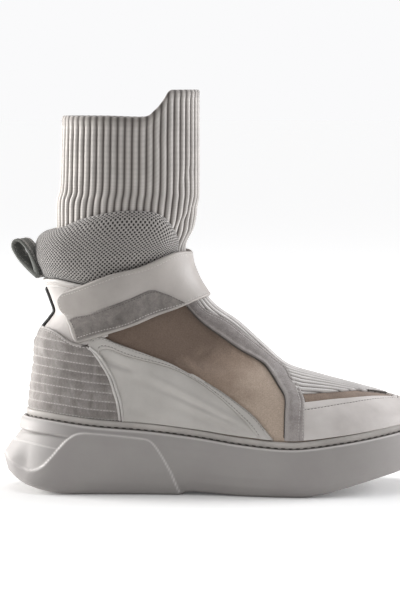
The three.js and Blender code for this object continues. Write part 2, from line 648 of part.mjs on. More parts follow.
// A point on the strap: along runs from the outer end (-1) over the front (0) to the inner
// end (1), across from the lower edge (0) to the upper (1).
function strapPoint(along, across, out) {
  const frontX = footX(0.405); // where the middle line's height is taken
  const slope = Math.atan(STRAP_SLOPE);
  const middle = bedZ(footX(0)) + STRAP_FRONT_UP * SHELL_HEIGHT;
  const front = 1 - smoothstep(Math.abs(along), 0, 0.35);
  const offset = (across - 0.5) * STRAP_WIDTH * (1 - 0.07 * front) - STRAP_DIP * front;
  const reach = STRAP_REACH + STRAP_SKEW * (across - 0.5);
  const around = Math.PI + along * reach * Math.PI;
  const height = (level) => {
    const point = formPoint(around, level);
    return (point.z - middle) * Math.cos(slope) - (point.x - frontX) * Math.sin(slope) - offset;
  };
  let [under, over] = [6, TOPLINE + 3];
  for (let i = 0; i < 30; i++) {
    const level = (under + over) / 2;
    if (height(level) < 0) under = level;
    else over = level;
  }
  return form(around, under, out);
}
function strapLift(along, across) {
  const aside = Math.abs(along);
  const low = lerp(OVERLAY, BAND_THICK, smoothstep(aside, 0.06, 0.14)) + 3 * CLEAR;
  const high = COLLAR_SIDE + 2 * CLEAR;
  return lerp(low, high, smoothstep(across, 0.2, 1) * smoothstep(aside, 0.05, 0.4));
}
function strapBand(low, high) {
  const [steps, rows] = [30, [0, 0.5, 1]];
  const loops = Array.from({ length: steps + 1 }, (_, i) => {
    const along = (i / steps) * 2 - 1;
    const at = (across, out) => strapPoint(along, across, strapLift(along, across) + out);
    return [...rows.map((row) => at(row, high)), ...[...rows].reverse().map((row) => at(row, low))];
  });
  return stackSolid(loops, 1);
}
const strap = () => strapBand(0, STRAP_THICK);

// Suede patch on the strap's outer side, cut like the other overlays.
const PATCH_EDGE = [
  [-0.1, 0.4], [-0.1, 0.7], [0.104, 0.727], [0.18, 0.803], [0.255, 0.88], [0.305, 0.944], [0.319, 0.944],
  [0.357, 0.896], [0.4, 0.84], [0.4, 0.4],
];
function strapPatch() {
  const low = STRAP_THICK + CLEAR;
  return geometryOf(solid(strapBand(low, low + PATCH_THICK)).intersect(outerPrism(side(PATCH_EDGE))));
}

const MATERIALS = {
  rubber: { color: 0x8c8886, roughness: 0.62, metalness: 0 },
  nubuck: { color: 0x8e7c6f, roughness: 0.92, metalness: 0 },
  leather: { color: 0xb2aeaa, roughness: 0.6, metalness: 0 },
  suede: { color: 0x787371, roughness: 0.95, metalness: 0 },
  knit: { color: 0x95908d, roughness: 0.95, metalness: 0 },
  mesh: { color: 0x9b9996, roughness: 0.85, metalness: 0 },
  webbing: { color: 0x5a5a57, roughness: 0.85, metalness: 0 },
  footbed: { color: 0x9a9693, roughness: 0.9, metalness: 0 },
};

const PIECES = [
  ['sole', sole(), 'rubber'],
  ['rand', rand(), 'leather'],
  ['insole', insole(), 'footbed'],
  ['upper', upper(), 'nubuck'],
  ['heel_counter', heelCounter(), 'suede'],
  ['quarter_outer', quarter(outerPrism), 'leather'],
  ['quarter_inner', quarter(innerPrism), 'leather'],
  ['side_band_outer', sideBand(outerPrism), 'suede'],
  ['side_band_inner', sideBand(innerPrism), 'suede'],
  ['toe_guard', toeGuard(), 'leather'],
  ['vamp_insert', vampInsert(), 'knit'],
  ['heel_saddle', heelSaddle(), 'leather'],
  ['ankle_collar', ankleCollar(), 'mesh'],
  ['knit_shaft', knitShaft(), 'knit'],
  ['strap', strap(), 'leather'],
  ['strap_patch', strapPatch(), 'suede'],
  ['pull_loop', pullLoop(), 'webbing'],
];

const boot = new THREE.Group();
for (const [name, geometry, finish] of PIECES) {
  const mesh = new THREE.Mesh(geometry, new THREE.MeshStandardMaterial(MATERIALS[finish]));
  mesh.name = name;
  boot.add(mesh);
}

export default boot;
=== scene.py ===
# %% [markdown]
# # A sneaker boot, dressed in Blender
# The boot is one right shoe that stands empty on its thick rubber sole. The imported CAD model
# gives the frame: every piece here lies on the same shoe form, in the same place, and gets
# the cloth, leather and rubber that the real one is made of.

# %% Load the frame
import math

import bmesh
import bpy
import numpy as np
from mathutils import Matrix, Vector


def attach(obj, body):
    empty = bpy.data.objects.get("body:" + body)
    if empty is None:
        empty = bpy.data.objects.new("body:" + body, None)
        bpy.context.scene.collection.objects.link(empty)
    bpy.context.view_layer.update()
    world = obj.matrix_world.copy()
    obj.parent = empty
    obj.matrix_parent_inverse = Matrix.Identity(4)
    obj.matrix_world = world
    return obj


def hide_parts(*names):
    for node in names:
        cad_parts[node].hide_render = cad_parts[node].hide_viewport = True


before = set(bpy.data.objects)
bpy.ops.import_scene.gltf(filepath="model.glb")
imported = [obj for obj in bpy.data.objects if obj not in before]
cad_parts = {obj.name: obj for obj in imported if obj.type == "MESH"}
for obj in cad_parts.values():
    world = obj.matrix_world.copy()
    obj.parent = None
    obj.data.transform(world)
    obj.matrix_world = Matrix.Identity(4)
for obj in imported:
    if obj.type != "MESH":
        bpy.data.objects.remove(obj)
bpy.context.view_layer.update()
bpy.ops.object.select_all(action="DESELECT")
MM = 0.001
print("CAD nodes:", len(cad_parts))

# %% [markdown]
# ## Camera
# The photograph is a side view from a little above. A long lens from 1.8 m keeps the sole's
# far edge just out of sight. The toe runs past the picture's right edge, as in the photo.

# %% Camera
camera_data = bpy.data.cameras.new("camera")
LENS, SENSOR, LOOK_DOWN = 150.9, 36, 4.6  # millimetres, and degrees below level
camera_data.lens = LENS
camera_data.sensor_width = SENSOR
camera_data.sensor_fit = "AUTO"
camera = bpy.data.objects.new("camera", camera_data)
camera.location = (0.08616, -1.8, 0.280)
camera.rotation_euler = (math.radians(90 - LOOK_DOWN), 0, 0)
bpy.context.scene.collection.objects.link(camera)
bpy.context.scene.camera = camera
print("camera at", tuple(round(v, 3) for v in camera.location))

# %% [markdown]
# ## Colours and nodes
# Colours are written as sRGB hex values, as a designer reads them off a screen, and turned
# to linear light once. One helper adds a shader node with its settings and links.

# %% Colour and node helpers
def linear(code):
    """A hex sRGB colour as linear RGBA."""
    parts = [int(code[i : i + 2], 16) / 255 for i in (1, 3, 5)]
    return [p / 12.92 if p <= 0.04045 else ((p + 0.055) / 1.055) ** 2.4 for p in parts] + [1.0]


def add_node(tree, kind, settings=None, **inputs):
    """Adds a shader node. settings are its properties. inputs are its sockets, by name or as
    i and a number, each given a value or a socket to link."""
    node = tree.nodes.new(kind)
    for key, value in (settings or {}).items():
        setattr(node, key, value)
    for key, value in inputs.items():
        if key[0] == "i" and key[1:].isdigit():
            socket = node.inputs[int(key[1:])]
        else:
            socket = node.inputs[key.replace("_", " ")]
        if isinstance(value, bpy.types.NodeSocket):
            tree.links.new(value, socket)
        else:
            socket.default_value = value
    return node


# %% [markdown]
# ## Floor and light
# The studio is a white sweep between white walls. Two large soft lights stand behind the shoe,
# a strong one past the heel and one past the toe, and a weak one hangs above. The floor glows
# a little towards the camera, least near the shoe, so the shoe's soft shadow shows there and
# the far floor runs into the backdrop without a line.

# %% Floor and lights
bpy.ops.mesh.primitive_plane_add(size=1, location=(0, 0, 0))
floor = bpy.context.active_object
floor.name = "floor"
FLOOR_SIZE = 60
floor.data.transform(Matrix.Diagonal((FLOOR_SIZE, FLOOR_SIZE, 1, 1)))
floor_finish = bpy.data.materials.new("white studio sweep")
floor_finish.use_nodes = True
floor_tree = floor_finish.node_tree
shader = floor_tree.nodes["Principled BSDF"]
shader.inputs["Base Color"].default_value = linear("#f7f7f6")
shader.inputs["Roughness"].default_value = 0.85
shader.inputs["Specular IOR Level"].default_value = 0.2
shader.inputs["Emission Color"].default_value = linear("#ffffff")
SHOE_MIDDLE = (0.1, 0, 0)
GLOW_REACH, GLOW = (0.1, 0.9), (0.06, 0.58)  # metres from the shoe's middle, and the glow there
seen = add_node(floor_tree, "ShaderNodeLightPath")
place = add_node(floor_tree, "ShaderNodeTexCoord")
away = add_node(
    floor_tree, "ShaderNodeVectorMath", {"operation": "DISTANCE"}, i0=place.outputs["Object"], i1=SHOE_MIDDLE
)
bright = add_node(
    floor_tree, "ShaderNodeMapRange", {"interpolation_type": "SMOOTHSTEP"},
    i0=away.outputs["Value"], i1=GLOW_REACH[0], i2=GLOW_REACH[1], i3=GLOW[0], i4=GLOW[1],
)
glow = add_node(
    floor_tree, "ShaderNodeMath", {"operation": "MULTIPLY"}, i0=seen.outputs["Is Camera Ray"],
    i1=bright.outputs[0],
)
floor_tree.links.new(glow.outputs[0], shader.inputs["Emission Strength"])
floor.data.materials.append(floor_finish)

world = bpy.data.worlds.new("white walls")
world.use_nodes = True
walls = world.node_tree
backdrop = walls.nodes["Background"]
backdrop.inputs["Color"].default_value = linear("#fafafb")
backdrop.inputs["Strength"].default_value = 1.0
fill = add_node(walls, "ShaderNodeBackground", Color=linear("#f9f9fb"), Strength=0.425)
seen = add_node(walls, "ShaderNodeLightPath")
both = add_node(
    walls, "ShaderNodeMixShader", i0=seen.outputs["Is Camera Ray"], i1=fill.outputs[0], i2=backdrop.outputs[0]
)
walls.links.new(both.outputs[0], walls.nodes["World Output"].inputs["Surface"])
bpy.context.scene.world = world
bpy.context.scene.view_settings.view_transform = "Standard"


def soft_light(name, place, aim, size, watts, tint="#ffffff"):
    """A square area light at place that looks at aim. Sizes are in metres."""
    data = bpy.data.lights.new(name, "AREA")
    data.size = size
    data.energy = watts
    data.color = linear(tint)[:3]
    light = bpy.data.objects.new(name, data)
    light.location = place
    way = Vector(aim) - light.location
    light.rotation_euler = way.to_track_quat("-Z", "Y").to_euler()
    bpy.context.scene.collection.objects.link(light)


soft_light("heel light", (-1.3, 0.42, 0.36), (0.0, 0, 0.1), 0.8, 36, "#fffefd")
soft_light("toe light", (1.45, 0.35, 0.42), (0.1, 0, 0.12), 0.8, 22, "#fbfcff")
soft_light("top light", (0.1, 0.2, 1.7), (0.1, 0, 0.1), 1.2, 8)

# %% [markdown]
# ## The shoe's form
# A shoe is built on a last. Here the last is a short table of rings, the same as in the CAD
# source: a point of the form is given by how far round the foot it lies, from the heel's
# back by the outer side to the toe and back, and by a level, which counts the rings up.

# %% Tables of the form
FOOT_LENGTH, HEEL_BACK, SHELL_HEIGHT = 282.5, 35.0, 101.0
HEEL_STACK, BALL_STACK, TOE_STACK = 52.5, 33.8, 48.0
HEEL_TIP, TOE_TIP, ARCH_RISE, CHANNEL_DEPTH = 23.0, 27.0, 1.8, 2.5
ANKLE_LENGTH, ANKLE_WIDTH, SHAFT_HEIGHT, RIM_DROP = 102.0, 76.0, 135.0, 18.5
HEEL_HALF, WAIST_HALF, BALL_HALF = 31.0, 34.0, 48.0
BALL_WIDTH, BED_BACK = 2 * BALL_HALF, HEEL_STACK - CHANNEL_DEPTH
CLEAR, UPPER_WALL = 0.3, 2.2
OVERLAY, BAND_THICK, COUNTER_PAD = 1.3, 1.7, 3.4
TURN = 2 * np.pi

# back, front, back up, front up, follow, heel, waist, ball, heel cap, toe cap
SHELL_ROWS = [
    (0.000, 1.000, 0.000, 0.000, 1.00, 0.95, 0.96, 0.98, 0.16, 0.30),
    (-0.005, 1.006, 0.050, 0.050, 0.96, 1.00, 1.02, 1.01, 0.17, 0.30),
    (-0.004, 1.000, 0.130, 0.110, 0.86, 1.04, 1.08, 1.01, 0.18, 0.30),
    (-0.001, 0.975, 0.225, 0.156, 0.68, 1.05, 1.11, 0.97, 0.19, 0.31),
    (0.004, 0.918, 0.320, 0.244, 0.50, 1.04, 1.12, 0.88, 0.20, 0.34),
    (0.010, 0.830, 0.405, 0.353, 0.34, 1.03, 1.10, 0.77, 0.22, 0.38),
    (0.014, 0.735, 0.480, 0.462, 0.22, 1.02, 1.08, 0.68, 0.24, 0.42),
    (0.019, 0.650, 0.555, 0.560, 0.12, 1.00, 1.06, 0.61, 0.26, 0.46),
    (0.034, 0.585, 0.635, 0.703, 0.05, 0.98, 1.05, 0.58, 0.30, 0.50),
    (0.054, 0.524, 0.710, 0.838, 0.00, 0.96, 1.05, 0.59, 0.36, 0.54),
    (0.067, 0.465, 0.780, 0.930, 0.00, 0.97, 1.07, 0.62, 0.42, 0.58),
    (0.056, 0.424, 0.880, 1.052, 0.00, 1.03, 1.10, 0.68, 0.46, 0.56),
    (0.041, 0.401, 1.000, 1.180, 0.00, 1.10, 1.13, 0.74, 0.48, 0.54),
]
# back, front, up, lean, wide
SHAFT_ROWS = [
    (0.020, -0.018, 0.075, 0.055, 0.985), (0.050, -0.014, 0.165, 0.030, 0.96),
    (0.064, 0.042, 0.265, 0.020, 0.95), (0.066, 0.070, 0.410, 0.000, 0.96),
    (0.090, 0.076, 0.500, 0.000, 0.97), (0.102, 0.076, 0.770, 0.000, 0.99),
    (0.120, 0.076, 1.020, 0.000, 1.00),
]
# share of the foot's length, share of the height, for the lip and for the floor line
LIP_HEEL = [
    (-0.04, 1.03), (0, 1), (0.05, 0.95), (0.17, 0.74), (0.3, 0.58), (0.42, 0.37), (0.52, 0.15),
    (0.62, 0.01), (0.68, 0),
]
LIP_TOE = [(0.62, 0), (0.68, 0.01), (0.79, 0.27), (0.87, 0.5), (0.92, 0.66), (1.03, 1.05)]
FLOOR_HEEL = [
    (-0.068, 1), (-0.061, 0.78), (-0.052, 0.46), (-0.045, 0.3), (-0.028, 0.205), (-0.01, 0.165),
    (0.011, 0.11), (0.032, 0.065), (0.055, 0.02), (0.07, 0),
]
FLOOR_ARCH = [(0.385, 0), (0.395, 1), (0.45, 0.8), (0.53, 0)]
FLOOR_TOE = [
    (0.69, 0), (0.735, 0.07), (0.78, 0.19), (0.83, 0.33), (0.88, 0.46), (0.935, 0.6), (0.985, 0.8), (1.03, 1),
]
# the foot's bend: share of its length, share of the swing to the outer side, then to the inner
SWING_OUTER, SWING_INNER = [(0.3, 0), (0.6, 1), (0.76, 0)], [(0.6, 0), (0.8, 0.2), (1, 1), (1.05, 1.2)]
SWING_OUT, SWING_IN = 3.0, 7.0


# %% Curves and heights along the foot
def hermite(u, a, b, slope_a, slope_b, span):
    """The smooth curve from a to b at share u of a span, with its slopes at both ends."""
    return (
        a * (1 + 2 * u) * (1 - u) ** 2 + slope_a * span * u * (1 - u) ** 2
        + b * u * u * (3 - 2 * u) + slope_b * span * u * u * (u - 1)
    )


def through(knots, x):
    """A smooth curve through knots, level beyond its ends."""
    table = np.array(knots, float)
    xs, ys = table[:, 0], table[:, 1]
    last = len(xs) - 1
    before, after = np.maximum(np.arange(last + 1) - 1, 0), np.minimum(np.arange(last + 1) + 1, last)
    slope = (ys[after] - ys[before]) / (xs[after] - xs[before])
    x = np.clip(np.asarray(x, float), xs[0], xs[-1])
    i = np.clip(np.searchsorted(xs, x, side="right") - 1, 0, last - 1)
    span = xs[i + 1] - xs[i]
    return hermite((x - xs[i]) / span, ys[i], ys[i + 1], slope[i], slope[i + 1], span)


def smoothstep(x, low, high):
    t = np.clip((np.asarray(x, float) - low) / (high - low), 0, 1)
    return t * t * (3 - 2 * t)


def lerp(a, b, t):
    return a + (b - a) * t


def foot_x(share):
    """x in mm at a share of the foot's length. share_at is the other way round."""
    return np.asarray(share) * FOOT_LENGTH - HEEL_BACK


def share_at(x):
    return (np.asarray(x, float) + HEEL_BACK) / FOOT_LENGTH


def lip_z(x):
    """Height of the sole's lip."""
    s = share_at(x)
    heel, toe = through(LIP_HEEL, s) * (HEEL_STACK - BALL_STACK), through(LIP_TOE, s) * (TOE_STACK - BALL_STACK)
    return BALL_STACK + heel + toe


def bed_z(x):
    """Height of the channel's bottom, where the upper stands."""
    return lip_z(x) - CHANNEL_DEPTH


def floor_z(x):
    """Height of the sole's under side, with its heel tip, arch and toe spring."""
    s = share_at(x)
    low = np.where(s < 0.07, through(FLOOR_HEEL, s) * HEEL_TIP, through(FLOOR_ARCH, s) * ARCH_RISE)
    return np.where(s > 0.69, through(FLOOR_TOE, s) * TOE_TIP, low)


def swing(x):
    """y of the foot's middle line."""
    s = share_at(x)
    return through(SWING_OUTER, s) * -SWING_OUT + through(SWING_INNER, s) * SWING_IN


# %% Rings of the form
def shell_ring(back, front, back_up, front_up, follow, heel, waist, ball, heel_cap, toe_cap):
    """A row of the shell's table, with its lengths in millimetres."""
    back, front = foot_x(back), foot_x(front)
    return [
        back, front, bed_z(back) + CLEAR + back_up * SHELL_HEIGHT, bed_z(front) + CLEAR + front_up * SHELL_HEIGHT,
        follow, heel * HEEL_HALF, waist * WAIST_HALF, ball * BALL_HALF, heel_cap, toe_cap,
    ]


RINGS = [[float(v) for v in shell_ring(*row)] for row in SHELL_ROWS]
TOPLINE = len(RINGS) - 1
TOP_BACK, TOP_FRONT, TOP_Z = RINGS[-1][0], RINGS[-1][1], RINGS[-1][2]
for back, front, up, lean, wide in SHAFT_ROWS:
    half = wide * ANKLE_WIDTH / 2
    RINGS.append([
        TOP_BACK + back * ANKLE_LENGTH, TOP_FRONT + front * ANKLE_LENGTH, TOP_Z + up * SHAFT_HEIGHT,
        TOP_Z + (up + lean) * SHAFT_HEIGHT, 0, half, half, half, 0.5, 0.5,
    ])
RINGS = np.array(RINGS)
SHAFT_END = len(RINGS) - 1


def ring_at(level):
    """The ring's ten values at any level, on a smooth run through the rows."""
    level = np.asarray(level, float)
    i = np.clip(np.floor(level).astype(int), 0, SHAFT_END - 1)
    u = (level - i)[..., None]
    a, b, c, d = (RINGS[np.clip(i + n, 0, SHAFT_END)] for n in (-1, 0, 1, 2))
    ring = b + 0.5 * u * (c - a + u * (2 * a - 5 * b + 4 * c - d + u * (3 * (b - c) + d - a)))
    return np.moveaxis(ring, -1, 0)


def round_end(share, cap):
    """The share of its width that a ring has near a rounded end. cap is the rounding's length."""
    return np.sqrt(np.maximum(1 - (1 - np.minimum(share / cap, 1)) ** 2, 0))


def widths_at(share, heel, waist, ball):
    """The half width along a ring, as the curve through heel, waist and ball."""
    knots = (0, 0.14, 0.42, 0.7, 1)
    values = (heel, heel, waist, ball, ball)
    slope = [0] * 5
    for n in range(5):
        low, high = max(n - 1, 0), min(n + 1, 4)
        slope[n] = (values[high] - values[low]) / (knots[high] - knots[low])
    share = np.clip(share, 0, 1)
    out = np.zeros(np.broadcast(share, heel).shape)
    for n in range(4):
        span = knots[n + 1] - knots[n]
        piece = hermite((share - knots[n]) / span, values[n], values[n + 1], slope[n], slope[n + 1], span)
        inside = (share >= knots[n]) & ((share < knots[n + 1]) | (n == 3))
        out = np.where(inside, piece, out)
    return out


def form_point(around, level):
    """A point of the form itself, in millimetres."""
    around, level = np.broadcast_arrays(np.asarray(around, float), np.asarray(level, float))
    back, front, back_z, front_z, follow, heel, waist, ball, heel_cap, toe_cap = ring_at(level)
    share = (1 - np.cos(around)) / 2
    x = lerp(back, front, share)
    width = widths_at(share, heel, waist, ball) * round_end(share, heel_cap) * round_end(1 - share, toe_cap)
    side = np.where(np.sin(around) < 0, 1.0, -1.0)
    chord = lerp(bed_z(back), bed_z(front), share)
    z = lerp(back_z, front_z, share) + follow * (bed_z(x) - chord)
    return np.stack([x, swing(x) + side * width, z], -1)


def form(around, level, out=0.0):
    """A point of the form, moved out along its normal. Everything is in millimetres."""
    around, level = np.broadcast_arrays(np.asarray(around, float), np.asarray(level, float))
    point = form_point(around, level)
    step = 0.004
    across = form_point(around + step, level) - form_point(around - step, level)
    up = form_point(around, np.minimum(level + step, SHAFT_END)) - form_point(around, np.maximum(level - step, 0))
    normal = np.cross(across, up)
    normal /= np.maximum(np.linalg.norm(normal, axis=-1, keepdims=True), 1e-9)
    return point + normal * np.asarray(out, float)[..., None]


print("form: topline from", form(0, TOPLINE).round(1), "to", form(np.pi, TOPLINE).round(1))


# %% From the side view to the form
def turning_point(still_low, low, high, shape, rounds=40):
    """The values between low and high at which still_low(value) turns from true to false."""
    under, over = np.full(shape, float(low)), np.full(shape, float(high))
    for _ in range(rounds):
        middle = (under + over) / 2
        below = still_low(middle)
        under, over = np.where(below, middle, under), np.where(below, over, middle)
    return under


def turn_at(x, back, front):
    """around of the outer side's point at x, on a ring that runs from back to front."""
    return np.arccos(np.clip(1 - 2 * (x - back) / (front - back), -1, 1))


def on_side(x, z):
    """around and level of the outer side's points that the side view shows at x, z."""
    x, z = np.broadcast_arrays(np.asarray(x, float), np.asarray(z, float))

    def below(level):
        ring = ring_at(level)
        share = np.clip((x - ring[0]) / (ring[1] - ring[0]), 0, 1)
        chord = lerp(bed_z(ring[0]), bed_z(ring[1]), share)
        inside = np.clip(x, ring[0], ring[1])
        return lerp(ring[2], ring[3], share) + ring[4] * (bed_z(inside) - chord) < z

    level = turning_point(below, 0, SHAFT_END, x.shape)
    return turn_at(x, *ring_at(level)[:2]), level


def on_top(x, half):
    """around and level of the point at x whose distance from the middle line is half."""
    x, half = np.broadcast_arrays(np.asarray(x, float), np.asarray(half, float))

    def wider(level):
        ring = ring_at(level)
        share = np.clip((x - ring[0]) / (ring[1] - ring[0]), 0, 1)
        return widths_at(share, *ring[5:8]) * round_end(share, ring[8]) * round_end(1 - share, ring[9]) > half

    level = turning_point(wider, 1, TOPLINE, x.shape)
    return turn_at(x, *ring_at(level)[:2]), level


def resample(points, count, smooth=True):
    """count points, evenly spaced along a line of points of any dimension."""
    points = np.array(points, float)
    run = np.r_[0, np.cumsum(np.linalg.norm(np.diff(points, axis=0), axis=1))]
    run, keep = np.unique(run, return_index=True)
    points = points[keep]
    t = np.linspace(0, run[-1], count)
    if smooth and len(run) > 2:
        return np.stack([through(np.c_[run, points[:, k]], t) for k in range(points.shape[1])], -1)
    return np.stack([np.interp(t, run, points[:, k]) for k in range(points.shape[1])], -1)


def side(corners):
    """Corners in shares of the foot's length and the shell's height, as x, z in millimetres."""
    return [(float(foot_x(s)), float(bed_z(foot_x(0)) + up * SHELL_HEIGHT)) for s, up in corners]


# %% [markdown]
# ## Sheets laid on the form
# Leather panels are cut flat and pulled over the last. In Blender a panel starts as a grid
# whose points are then placed on the form, so its threads run with the panel. Solidify gives
# it its thickness, and rows of points close to its edges roll them over as a skived edge.

# %% A grid laid on the form
SHEET_BACK = 0.9  # how far a panel reaches in behind its face, in mm
EDGE_STEPS = np.array([0.0, 0.25, 0.6, 1.1, 1.7])  # rows that roll an edge, in mm from it


def edge_rows(length, pitch, start=True, end=True):
    """Shares of a length: a row every pitch mm, and closer rows at the edges that are rolled."""
    close = EDGE_STEPS / length
    inner = np.linspace(0, 1, max(int(round(length / pitch)), 2) + 1)
    low, high = (close[-1] if start else 0), (1 - close[-1] if end else 1)
    rows = [r for r in inner if low + 0.4 * pitch / length < r < high - 0.4 * pitch / length]
    rows = ([*close] if start else [0.0]) + rows + ([*(1 - close)] if end else [1.0])
    return np.unique(np.clip(rows, 0, 1))


def rolled(distance, radius=1.6):
    """How full a panel is at a distance from its edge: 0 on the edge, 1 further in."""
    return np.sqrt(1 - (1 - np.clip(distance / radius, 0, 1)) ** 2)


def face_outwards():
    """Turns the active mesh's faces outwards."""
    bpy.ops.object.mode_set(mode="EDIT")
    bpy.ops.mesh.select_all(action="SELECT")
    bpy.ops.mesh.normals_make_consistent(inside=False)
    bpy.ops.object.mode_set(mode="OBJECT")


def lay_grid(name, us, vs, place, uv_size, joined=False, back=SHEET_BACK, facing=None, attributes=None):
    """A grid with a column for each of us and a row for each of vs. place(U, V) gives its
    points in mm. joined closes the first column on the last. back is the sheet's thickness.
    Faces look away from the shoe's middle, or to the side that facing gives."""
    bpy.ops.object.select_all(action="DESELECT")
    bpy.ops.mesh.primitive_grid_add(x_subdivisions=len(us) - 1, y_subdivisions=len(vs) - 1, size=2)
    piece = bpy.context.active_object
    piece.name = piece.data.name = name
    mesh = piece.data
    co = np.empty(len(mesh.vertices) * 3)
    mesh.vertices.foreach_get("co", co)
    co = co.reshape(-1, 3)
    column = np.rint((co[:, 0] + 1) / 2 * (len(us) - 1)).astype(int)
    row = np.rint((co[:, 1] + 1) / 2 * (len(vs) - 1)).astype(int)
    U, V = np.asarray(us)[column], np.asarray(vs)[row]
    points = place(U, V)
    mesh.vertices.foreach_set("co", (points * MM).ravel())
    loops = np.empty(len(mesh.loops), int)
    mesh.loops.foreach_get("vertex_index", loops)
    uv = np.stack([U[loops] * uv_size[0], V[loops] * uv_size[1]], -1) / 10
    layer = mesh.uv_layers.active or mesh.uv_layers.new(name="UVMap")
    layer.data.foreach_set("uv", uv.ravel())
    for key, value in (attributes or {}).items():
        mesh.attributes.new(key, "FLOAT", "POINT").data.foreach_set("value", value(U, V))
    mesh.update()
    normals = np.empty(len(mesh.polygons) * 3)
    mesh.polygons.foreach_get("normal", normals)
    centres = np.empty(len(mesh.polygons) * 3)
    mesh.polygons.foreach_get("center", centres)
    areas = np.empty(len(mesh.polygons))
    mesh.polygons.foreach_get("area", areas)
    normals, centres = normals.reshape(-1, 3), centres.reshape(-1, 3)
    if facing is not None:
        away = np.tile(facing, (len(centres), 1))
    elif joined:
        away = (centres - [0.045, 0, 0]) * [1, 1, 0]
    else:
        away = centres * [0, 1, 0]
    if (np.sum(normals * away, -1) * areas).sum() < 0:
        mesh.flip_normals()
    if joined:
        bpy.ops.object.mode_set(mode="EDIT")
        bpy.ops.mesh.select_all(action="SELECT")
        bpy.ops.mesh.remove_doubles(threshold=0.00001)
        bpy.ops.object.mode_set(mode="OBJECT")
    if back:
        wall = piece.modifiers.new("thickness", "SOLIDIFY")
        wall.thickness = back * MM
        wall.offset = -1
        bpy.ops.object.modifier_apply(modifier=wall.name)
    bpy.ops.object.shade_smooth()
    return piece


def dress(piece, finish, slot, *replaced):
    """Gives a piece its finish, its body and the CAD nodes it stands for. slot is not used."""
    piece.data.materials.clear()
    piece.data.materials.append(finish)
    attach(piece, "root")
    if replaced:
        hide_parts(*replaced)
    size = [round(v / MM, 1) for v in piece.dimensions]
    print(f"{piece.name}: {len(piece.data.polygons)} faces, {size} mm")


# %% [markdown]
# ## Panels from their four edges
# A pattern cutter draws a panel by its edges. Each edge is drawn in the side view, carried
# over to the form, and the points between come from all four edges together.

# %% Rails and panels
OVERLAY_FOOT = 1.36  # the level at which the overlays end, behind the rand


class Rail:
    """An edge on the form, walked by its real length: rail(share) gives around and level."""

    def __init__(self, around, level):
        self.al = np.stack([np.asarray(around, float), np.asarray(level, float)], -1)
        points = form(self.al[:, 0], self.al[:, 1])
        run = np.r_[0, np.cumsum(np.linalg.norm(np.diff(points, axis=0), axis=1))]
        self.run = run / max(run[-1], 1e-9)

    def __call__(self, share):
        return np.stack([np.interp(share, self.run, self.al[:, k]) for k in (0, 1)], -1)


def side_rail(corners, smooth=True, count=80):
    """A rail through corners x, z of the side view."""
    line = resample(corners, count, smooth)
    return Rail(*on_side(line[:, 0], line[:, 1]))


def foot_rail(x_from, x_to, level=OVERLAY_FOOT):
    """A rail at one level from x to x."""
    ends = [turn_at(x, *ring_at(level)[:2]) for x in (x_from, x_to)]
    return Rail(np.linspace(*ends, 90), np.full(90, level))


class Panel:
    """A piece of the form between four rails: bottom and top run the same way, and so do
    left and right, from the bottom up."""

    def __init__(self, bottom, top, left, right):
        self.bottom, self.top, self.left, self.right = bottom, top, left, right

    def al(self, u, v):
        """around and level at u, v."""
        u, v = np.broadcast_arrays(np.asarray(u, float), np.asarray(v, float))
        cu, cv = u[..., None], v[..., None]
        b0, b1, t0, t1 = self.bottom(0.0), self.bottom(1.0), self.top(0.0), self.top(1.0)
        mixed = (
            (1 - cv) * self.bottom(u) + cv * self.top(u) + (1 - cu) * self.left(v) + cu * self.right(v)
            - ((1 - cu) * (1 - cv) * b0 + cu * (1 - cv) * b1 + (1 - cu) * cv * t0 + cu * cv * t1)
        )
        return mixed[..., 0], mixed[..., 1]

    def at(self, u, v, out=0.0, inner=False):
        """The point at u, v, moved out by out mm, or by what out gives. inner mirrors it."""
        around, level = self.al(u, v)
        if callable(out):
            out = self.face(u, v, out)
        return form(np.where(inner, TURN - around, around), level, out)

    def face(self, u, v, out):
        """How far the panel's face stands out at u, v, by the function out."""
        around, level = self.al(u, v)
        return out(u, v, form_point(around, level), level)

    def high(self, u):
        """The panel's height in mm at u, measured up its middle run."""
        rows = self.at(np.linspace(0, 1, 41)[None, :], np.linspace(0, 1, 24)[:, None])
        lengths = np.linalg.norm(np.diff(rows, axis=0), axis=-1).sum(0)
        return np.interp(u, np.linspace(0, 1, 41), lengths)

    def wide(self, v):
        """The panel's width in mm at v."""
        rows = self.at(np.linspace(0, 1, 24)[:, None], np.linspace(0, 1, 41)[None, :])
        lengths = np.linalg.norm(np.diff(rows, axis=0), axis=-1).sum(0)
        return np.interp(v, np.linspace(0, 1, 41), lengths)


def soft_folds(rows, point):
    """Creases laid one by one: rows of x, z to x, z in the side view, width and depth in mm."""
    x, z = point[..., 0], point[..., 2]
    total = np.zeros(x.shape)
    for x1, z1, x2, z2, width, depth in rows:
        dx, dz = x2 - x1, z2 - z1
        t = ((x - x1) * dx + (z - z1) * dz) / (dx * dx + dz * dz)
        gap = np.hypot(x - (x1 + t * dx), z - (z1 + t * dz))
        total += depth * np.exp(-((gap / width) ** 2)) * smoothstep(t, -0.12, 0.2) * (1 - smoothstep(t, 0.75, 1.12))
    return total


# %% [markdown]
# ## Thread and piping
# A stitch is a short piece of thread that dips in and out of the leather. One is modelled
# with few faces and copied along every seam into one mesh for each thread colour. Piping is
# a tube along a seam, closed at its ends.

# %% Stitches and piping
thread_rows = {"light": [], "mid": [], "dark": []}


